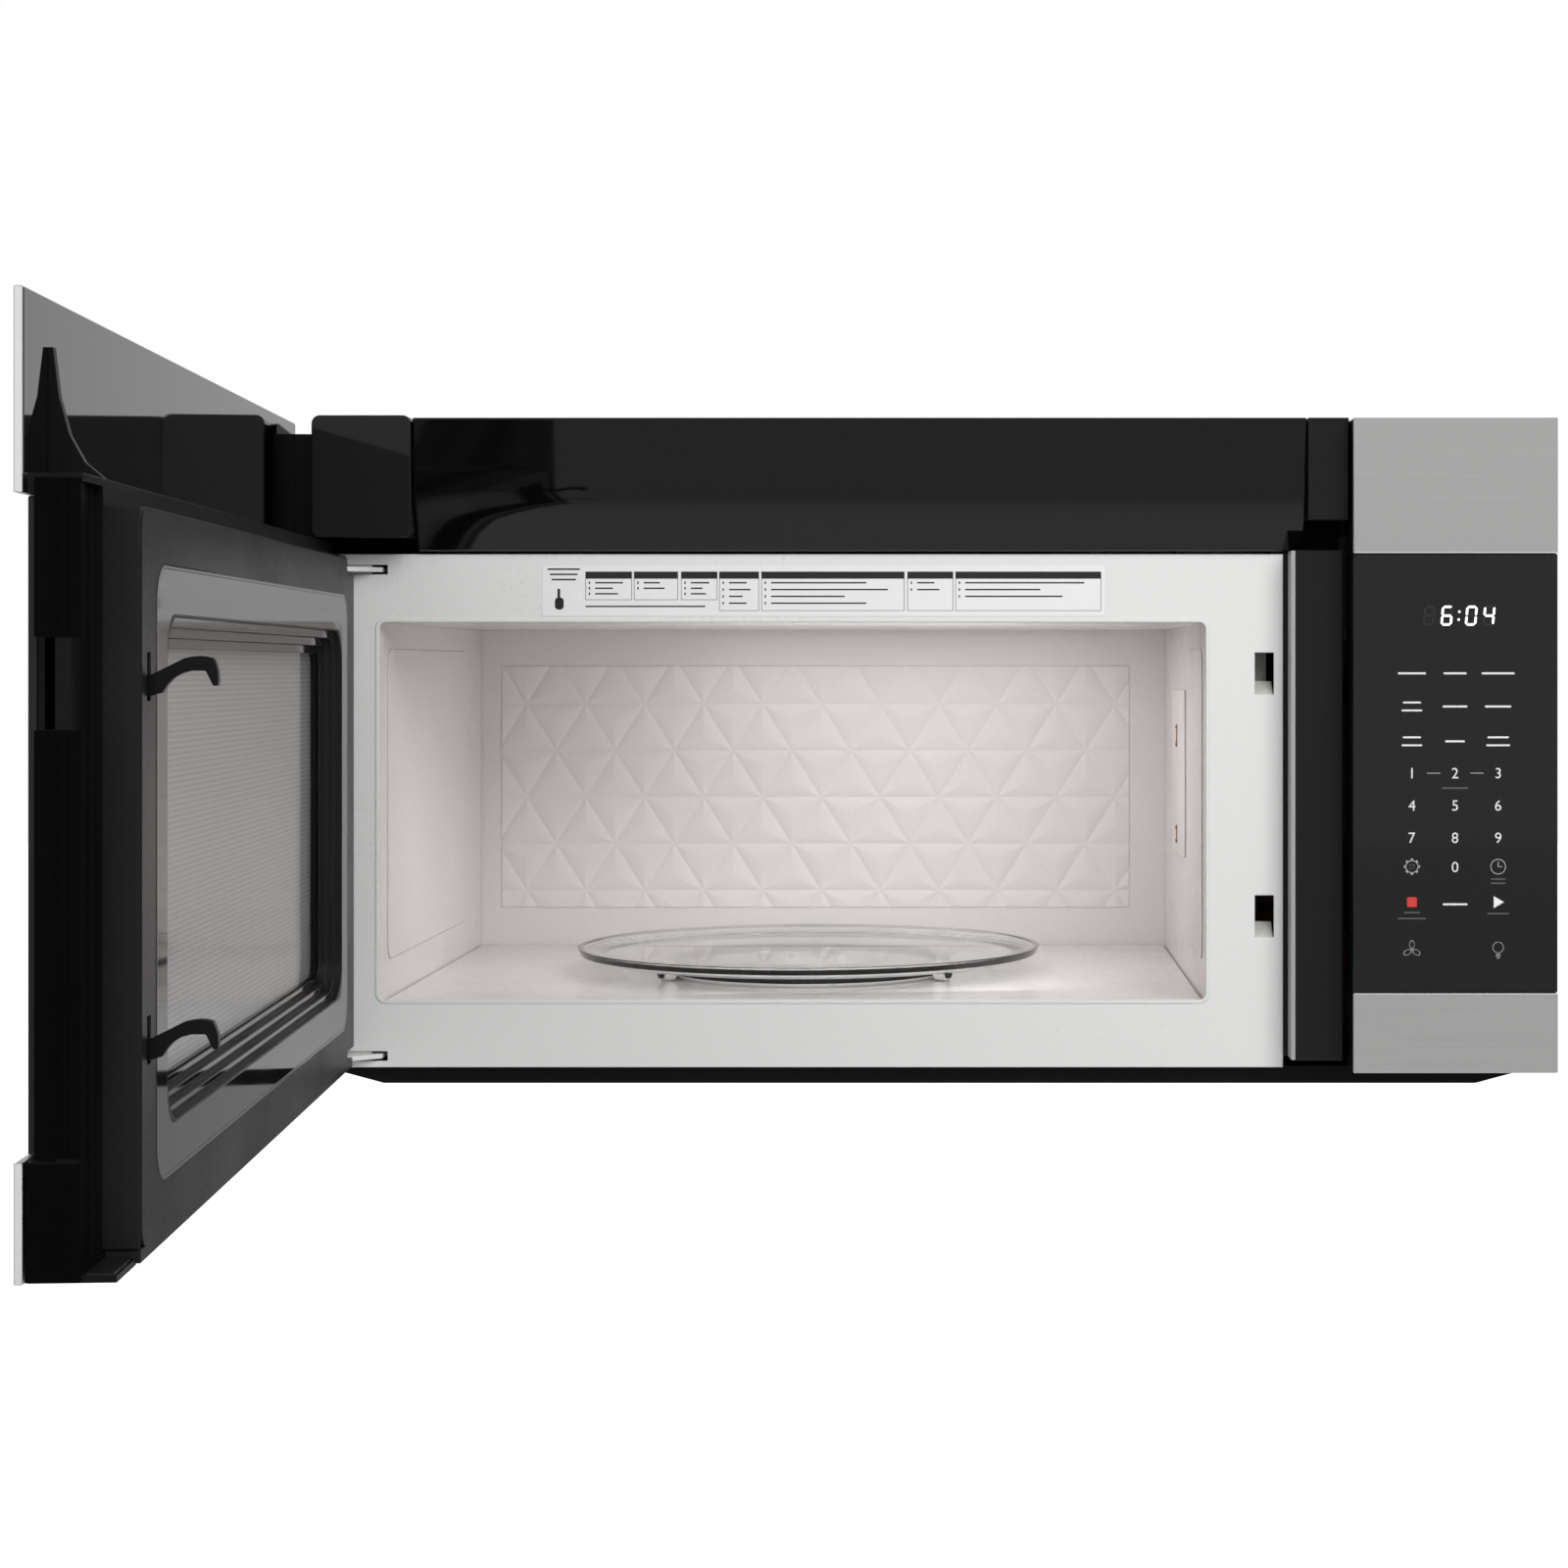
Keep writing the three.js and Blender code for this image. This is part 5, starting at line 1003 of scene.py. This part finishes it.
def back_wall_facets():
    """Pressed triangular facets over the back wall, each with a low peak."""
    bm = bmesh.new()
    made = bmesh.ops.create_grid(bm, x_segments=FACET_COLUMNS, y_segments=FACET_ROWS, size=0.5)
    size = Vector((FACET_COLUMNS * FACET_PITCH, FACET_ROWS * FACET_ROW)) * MM
    low_row = -FACET_ROWS * FACET_ROW * MM / 2
    moved(bm, Matrix.Diagonal((size.x, size.y, 1, 1)), made["verts"])
    for vert in made["verts"]:
        row = round((vert.co.y - low_row) / (FACET_ROW * MM))
        vert.co.x += (FACET_PITCH / 2 if row % 2 else 0) * MM
    for face in list(bm.faces):
        corners = sorted(face.verts, key=lambda v: (round(v.co.y, 5), v.co.x))
        row = round((corners[0].co.y - low_row) / (FACET_ROW * MM))
        pair = (corners[1], corners[2]) if row % 2 == 0 else (corners[0], corners[3])
        bmesh.utils.face_split(face, *pair)
    peaks = bmesh.ops.poke(bm, faces=list(bm.faces), offset=0.0)
    for vert in peaks["verts"]:
        vert.co.z = FACET_PEAK * MM
    wall = CAVITY["y"][1]
    middle = (CAVITY["x"][0] + CAVITY["x"][1]) / 2 + FACET_MIDDLE[0]
    moved(bm, at(middle, FACET_MIDDLE[1], wall + OVERLAP) @ STAND_UP)
    for axis, place, sign in FACET_RIM:
        point, normal = Vector(), Vector()
        point[axis], normal[axis] = place * MM, sign
        bmesh.ops.bisect_plane(bm, geom=bm.verts[:] + bm.edges[:] + bm.faces[:],
                               plane_co=point, plane_no=normal, clear_outer=True)
    rim = [e for e in bm.edges if e.is_boundary]
    for vert in verts_of(bmesh.ops.extrude_edge_only(bm, edges=rim)):
        vert.co.y = (wall + 0.25) * MM
    bmesh.ops.holes_fill(bm, edges=[e for e in bm.edges if e.is_boundary], sides=0)
    piece("back_wall_facets", bm, "case", pressed_enamel, crease=0.5)


def wall_pressings():
    """Low pressed fields on the side walls of the cavity."""
    x, z = CAVITY["x"], CAVITY["z"]
    for name, wall_x, out, depth in (("left_wall_pressing", x[0], 1, (-368, -91)),
                                     ("right_wall_pressing", x[1], -1, (-368, -245))):
        bm = bmesh.new()
        rounded_plate(bm, depth, (-0.6, OVERLAP), (z[0] + 25, z[1] - 16), 10, 5, 0.4)
        moved(bm, Matrix.Rotation(math.pi / 2, 4, "Z"))
        moved(bm, Matrix.Translation((wall_x * MM, 0, 0)) @ Matrix.Diagonal((out, 1, 1, 1)))
        piece(name, bm, "case", cavity_enamel)


def floor_step():
    """The floor rises a little outside the round field in which the rollers run."""
    bm = bmesh.new()
    x, y = CAVITY["x"], CAVITY["y"]
    centre = Vector((TABLE[0], TABLE[1], CAVITY["z"][0] + WELL_DEPTH)) * MM
    ring = bmesh.ops.create_circle(bm, segments=64, radius=WELL_RIM * MM,
                                   matrix=Matrix.Translation(centre))
    inner = edges_at(ring["verts"])
    wide = verts_of(bmesh.ops.extrude_edge_only(bm, edges=inner))
    sides = [(x[0] + 1.2) * MM, (x[1] - 1.2) * MM, (y[0] + 0.5) * MM, (y[1] - 1.2) * MM]

    def to_wall(distance, low, high):
        """How many times a ray fits between the turntable's axis and the wall ahead of it."""
        return (high if distance > 0 else low) / distance if abs(distance) > 1e-9 else math.inf

    for vert in wide:
        ray = vert.co - centre
        vert.co = centre + ray * min(
            to_wall(ray.x, sides[0] - centre.x, sides[1] - centre.x),
            to_wall(ray.y, sides[2] - centre.y, sides[3] - centre.y),
        )
    for corner in ((sides[i], sides[j]) for i in (0, 1) for j in (2, 3)):
        nearest = min(wide, key=lambda v: (v.co.x - corner[0]) ** 2 + (v.co.y - corner[1]) ** 2)
        nearest.co.x, nearest.co.y = corner
    for vert in verts_of(bmesh.ops.extrude_edge_only(bm, edges=inner)):
        ray = vert.co - centre
        vert.co = centre + ray * (WELL_FOOT / WELL_RIM) - Vector((0, 0, STEP_DROP * MM))
    rim = [e for e in edges_at(wide) if e.is_boundary]
    for vert in verts_of(bmesh.ops.extrude_edge_only(bm, edges=rim)):
        vert.co.z -= STEP_DROP * MM
    soften(bm, inner, 0.5)
    piece("floor_step", bm, "case", cavity_enamel, crease=50)


def mica_clips():
    """Two slim clips hold the waveguide cover to the right wall."""
    bm = bmesh.new()
    face, y = CAVITY["x"][1] - 1.3, -168.2
    for low, high in ((-1.0, 15.0), (-68.0, -55.0)):
        block(bm, (face - 0.7, face), (y - 1.0, y + 1.0), (low, high), 0.2)
        for z in (low + 2.0, high - 2.0):
            rod(bm, (face - 0.6, y, z), (face - 1.3, y, z), 1.5, 16, 1.0)
    piece("waveguide_cover_clips", bm, "case", bronze)


back_wall_facets()
wall_pressings()
floor_step()
mica_clips()


# ---- Outside of the case ----
# Shapes drawn in front of the plane y = 0 are laid on a side of the case with these.
SIDES = {
    "top": at(0, CASE_TOP) @ Matrix.Rotation(-math.pi / 2, 4, "X"),
    "under": at(0, CASE_UNDER) @ STAND_UP,
    "back": Matrix.Rotation(math.pi, 4, "Z"),
    "left": at(-CASE_SIDE, 0) @ Matrix.Rotation(-math.pi / 2, 4, "Z"),
    "right": at(CASE_SIDE, 0) @ Matrix.Rotation(math.pi / 2, 4, "Z"),
}
PRESSED = (-0.5, OVERLAP)  # from the top of a pressed frame to its foot


def side_piece(name, bm, side, material):
    """Lays a piece on a side of the case."""
    moved(bm, SIDES[side])
    piece(name, bm, "case", material)


def bead(bm, u, w, rise=0.5, radius=6):
    """A low pressed bead."""
    rounded_plate(bm, u, (-rise, OVERLAP), w, radius, 5, rise * 0.8)


def case_screws():
    """Screws along the rims of the top, the back and both sides."""
    top, back, left, right = bmesh.new(), bmesh.new(), bmesh.new(), bmesh.new()
    for x in (-366, -120, 120, 366):
        hex_screw(top, x, -384)
    for x, y in ((-366, -14), (366, -14), (-366, -200), (366, -200), (215, -14)):
        hex_screw(top, x, y)
    for z in (-184, -60, 70, 194):
        for x in (-370, 370):
            hex_screw(back, x, z, 0.8)
    for x in (-240, -80, 80, 240):
        hex_screw(back, x, -184, 0.8)
        hex_screw(back, x, 196, 0.8)
    for z in (-178, 0, 190):
        for y in (-372, -16):
            hex_screw(left, -y, z)
            hex_screw(right, y, z)
    side_piece("top_screws", top, "top", steel)
    side_piece("back_screws", back, "back", steel)
    side_piece("left_screws", left, "left", black_paint)
    side_piece("right_screws", right, "right", black_paint)


def top_pressings():
    """Beads that stiffen the top, a lip round the exhaust and rings round two bolt places."""
    bm = bmesh.new()
    for y in (-318, -246, -174):
        bead(bm, (-330, 330), (y - 5, y + 5), 0.6, 4.9)
    rounded_ring(bm, (-151, 111), PRESSED, (-100, -9), 3.0, 4, 4, 0.2)
    for x in (-230, 230):
        rounded_ring(bm, (x - 13, x + 13), PRESSED, (-123, -97), 3.0, 12.9, 8, 0.2)
    side_piece("top_pressings", bm, "top", galvanised)


def back_pressings():
    """Beads on the back, and framed places for the wall plate's hooks."""
    bm = bmesh.new()
    for z in (-120, -20, 80):
        bead(bm, (-330, -30), (z - 6, z + 6), 0.5, 5.9)
        bead(bm, (30, 330), (z - 6, z + 6), 0.5, 5.9)
    for x in (-290, 290):
        rounded_ring(bm, (x - 32, x + 32), PRESSED, (-166, -150), 2.5, 4, 4, 0.2)
    rounded_ring(bm, (-352, 352), (-0.4, OVERLAP), (-172, 182), 3.0, 10, 6, 0.15)
    side_piece("back_pressings", bm, "back", galvanised)


def side_pressings():
    """A shallow frame on both sides, and cooling louvres high on the right one."""
    for side, sign in (("left", -1), ("right", 1)):
        bm = bmesh.new()
        rounded_ring(bm, sorted((sign * -352, sign * -36)), PRESSED, (-160, 172), 3.0, 9, 6, 0.2)
        if side == "right":
            for row in range(9):
                z = 146 - row * 9
                for start in (-330, -286, -242):
                    bead(bm, (start, start + 38), (z - 2.2, z + 2.2), 1.1, 2.1)
        side_piece(side + "_pressings", bm, side, black_paint)


def pan_details():
    """Screws and stiffening beads on the underside."""
    bm = bmesh.new()
    for x in (-300, 300):
        for y in (-352, -30):
            hex_screw(bm, x, -y)
    for x in (-40, 40):
        hex_screw(bm, x, 352)
    bead(bm, (-70, 70), (196, 204), 0.6, 3.9)
    bead(bm, (-70, 70), (306, 314), 0.6, 3.9)
    side_piece("pan_details", bm, "under", black_paint)


def filter_mesh(name, sign):
    """Crossed strands of the grease filter's mesh."""
    low, high = sorted((sign * 98.0, sign * 282.0))
    bm = bmesh.new()
    middle = (low + high) / 2
    half_x, half_y, middle_y = (high - low) / 2, 57.5, -262.0
    count = 34
    for step in range(count):
        place = -half_x - half_y + (step + 0.5) * 2 * (half_x + half_y) / count
        first, last = max(-half_x, place - half_y), min(half_x, place + half_y)
        if last - first < 4:
            continue
        for slant, level_z in ((1, -203.2), (-1, -203.9)):
            ends = [(middle + u, middle_y + slant * (u - place), level_z) for u in (first, last)]
            rod(bm, *ends, 0.45, 6)
    piece(name + "_filter_strands", bm, "filter_" + name, aluminium)


def cover_ribs(name, sign):
    """Fine ribs that spread the cooktop lamp's light."""
    across = sorted((sign * 12.0, sign * 88.0))
    bm = bmesh.new()
    for step in range(12):
        y = -130.5 + step * 4.6
        block(bm, across, (y - 0.9, y + 0.9), (-203.9, -203.3), 0.25)
    piece(name + "_cover_ribs", bm, "cover_" + name, frosted)


case_screws()
top_pressings()
back_pressings()
side_pressings()
pan_details()
for hand in (("left", -1), ("right", 1)):
    filter_mesh(*hand)
    cover_ribs(*hand)


# ---- Camera, lights and floor ----
CAMERA_PLACE = (0.0239, -2.155, 0.0531)
CAMERA_LENS = 65.475
CAMERA_SHIFT = (-0.1175, -0.0731)
SKY_LIGHT, FLOOR_GLOW = 0.44, 0.1  # what they give to the object. The camera sees both white.
FLOOR_HEIGHT = -1.9
ROOM_MIDDLE = (0, -0.2, 0)
# Name, place, aim, width, power, and whether glossy surfaces mirror it.
LIGHTS = (
    ("key_light", (1.1, -2.7, 1.6), ROOM_MIDDLE, 1.8, 66, False),
    ("fill_light", (-1.6, -2.6, 0.9), ROOM_MIDDLE, 1.8, 20, False),
    ("cavity_light", (-0.03, -0.22, 0.08), (-0.03, -0.22, -0.1), 0.3, 0.4, True),
    ("mouth_light", (-0.04, -0.36, -0.04), (-0.08, 0.0, 0.03), 0.22, 0.38, False),
)


def place_camera():
    camera = in_scene("camera", bpy.data.cameras.new("camera"))
    camera.data.sensor_width, camera.data.lens = 36.0, CAMERA_LENS
    camera.data.shift_x, camera.data.shift_y = CAMERA_SHIFT
    camera.location = CAMERA_PLACE
    camera.rotation_euler = (math.pi / 2, 0, 0)
    bpy.context.scene.camera = camera


def soft_light(name, place, aim, width, power, mirrored):
    light = bpy.data.lights.new(name, "AREA")
    light.shape, light.size, light.energy = "SQUARE", width, power
    lamp = in_scene(name, light)
    lamp.location = place
    lamp.rotation_euler = (Vector(aim) - Vector(place)).to_track_quat("-Z", "Y").to_euler()
    lamp.visible_camera = False
    lamp.visible_glossy = mirrored


def seen_white(tree, strength):
    """A strength that is 1 for what the camera sees itself, and lower for what it lights."""
    path = add(tree, "ShaderNodeLightPath")
    return ramp(tree, path.outputs["Is Camera Ray"], 0.0, 1.0, strength, 1.0)


def sky():
    scene = bpy.context.scene
    scene.view_settings.view_transform = "Standard"
    world = bpy.data.worlds.new("studio")
    world.use_nodes = True
    tree = world.node_tree
    background = tree.nodes["Background"]
    background.inputs["Color"].default_value = (1.0, 1.0, 1.0, 1.0)
    tree.links.new(seen_white(tree, SKY_LIGHT), background.inputs["Strength"])
    scene.world = world


def pale_floor():
    floor = bmesh.new()
    bmesh.ops.create_grid(floor, x_segments=1, y_segments=1, size=30,
                          matrix=Matrix.Translation((0, 0, FLOOR_HEIGHT)))
    mesh = mesh_of("floor", floor)
    pale = finish("pale_floor", grey(0.5), 0.8, vary=0.01, Emission_Color=(1, 1, 1, 1))
    tree = pale.node_tree
    shader = tree.nodes["Principled BSDF"]
    tree.links.new(seen_white(tree, FLOOR_GLOW), shader.inputs["Emission Strength"])
    mesh.materials.append(pale)
    in_scene("floor", mesh)


place_camera()
sky()
for light in LIGHTS:
    soft_light(*light)
pale_floor()
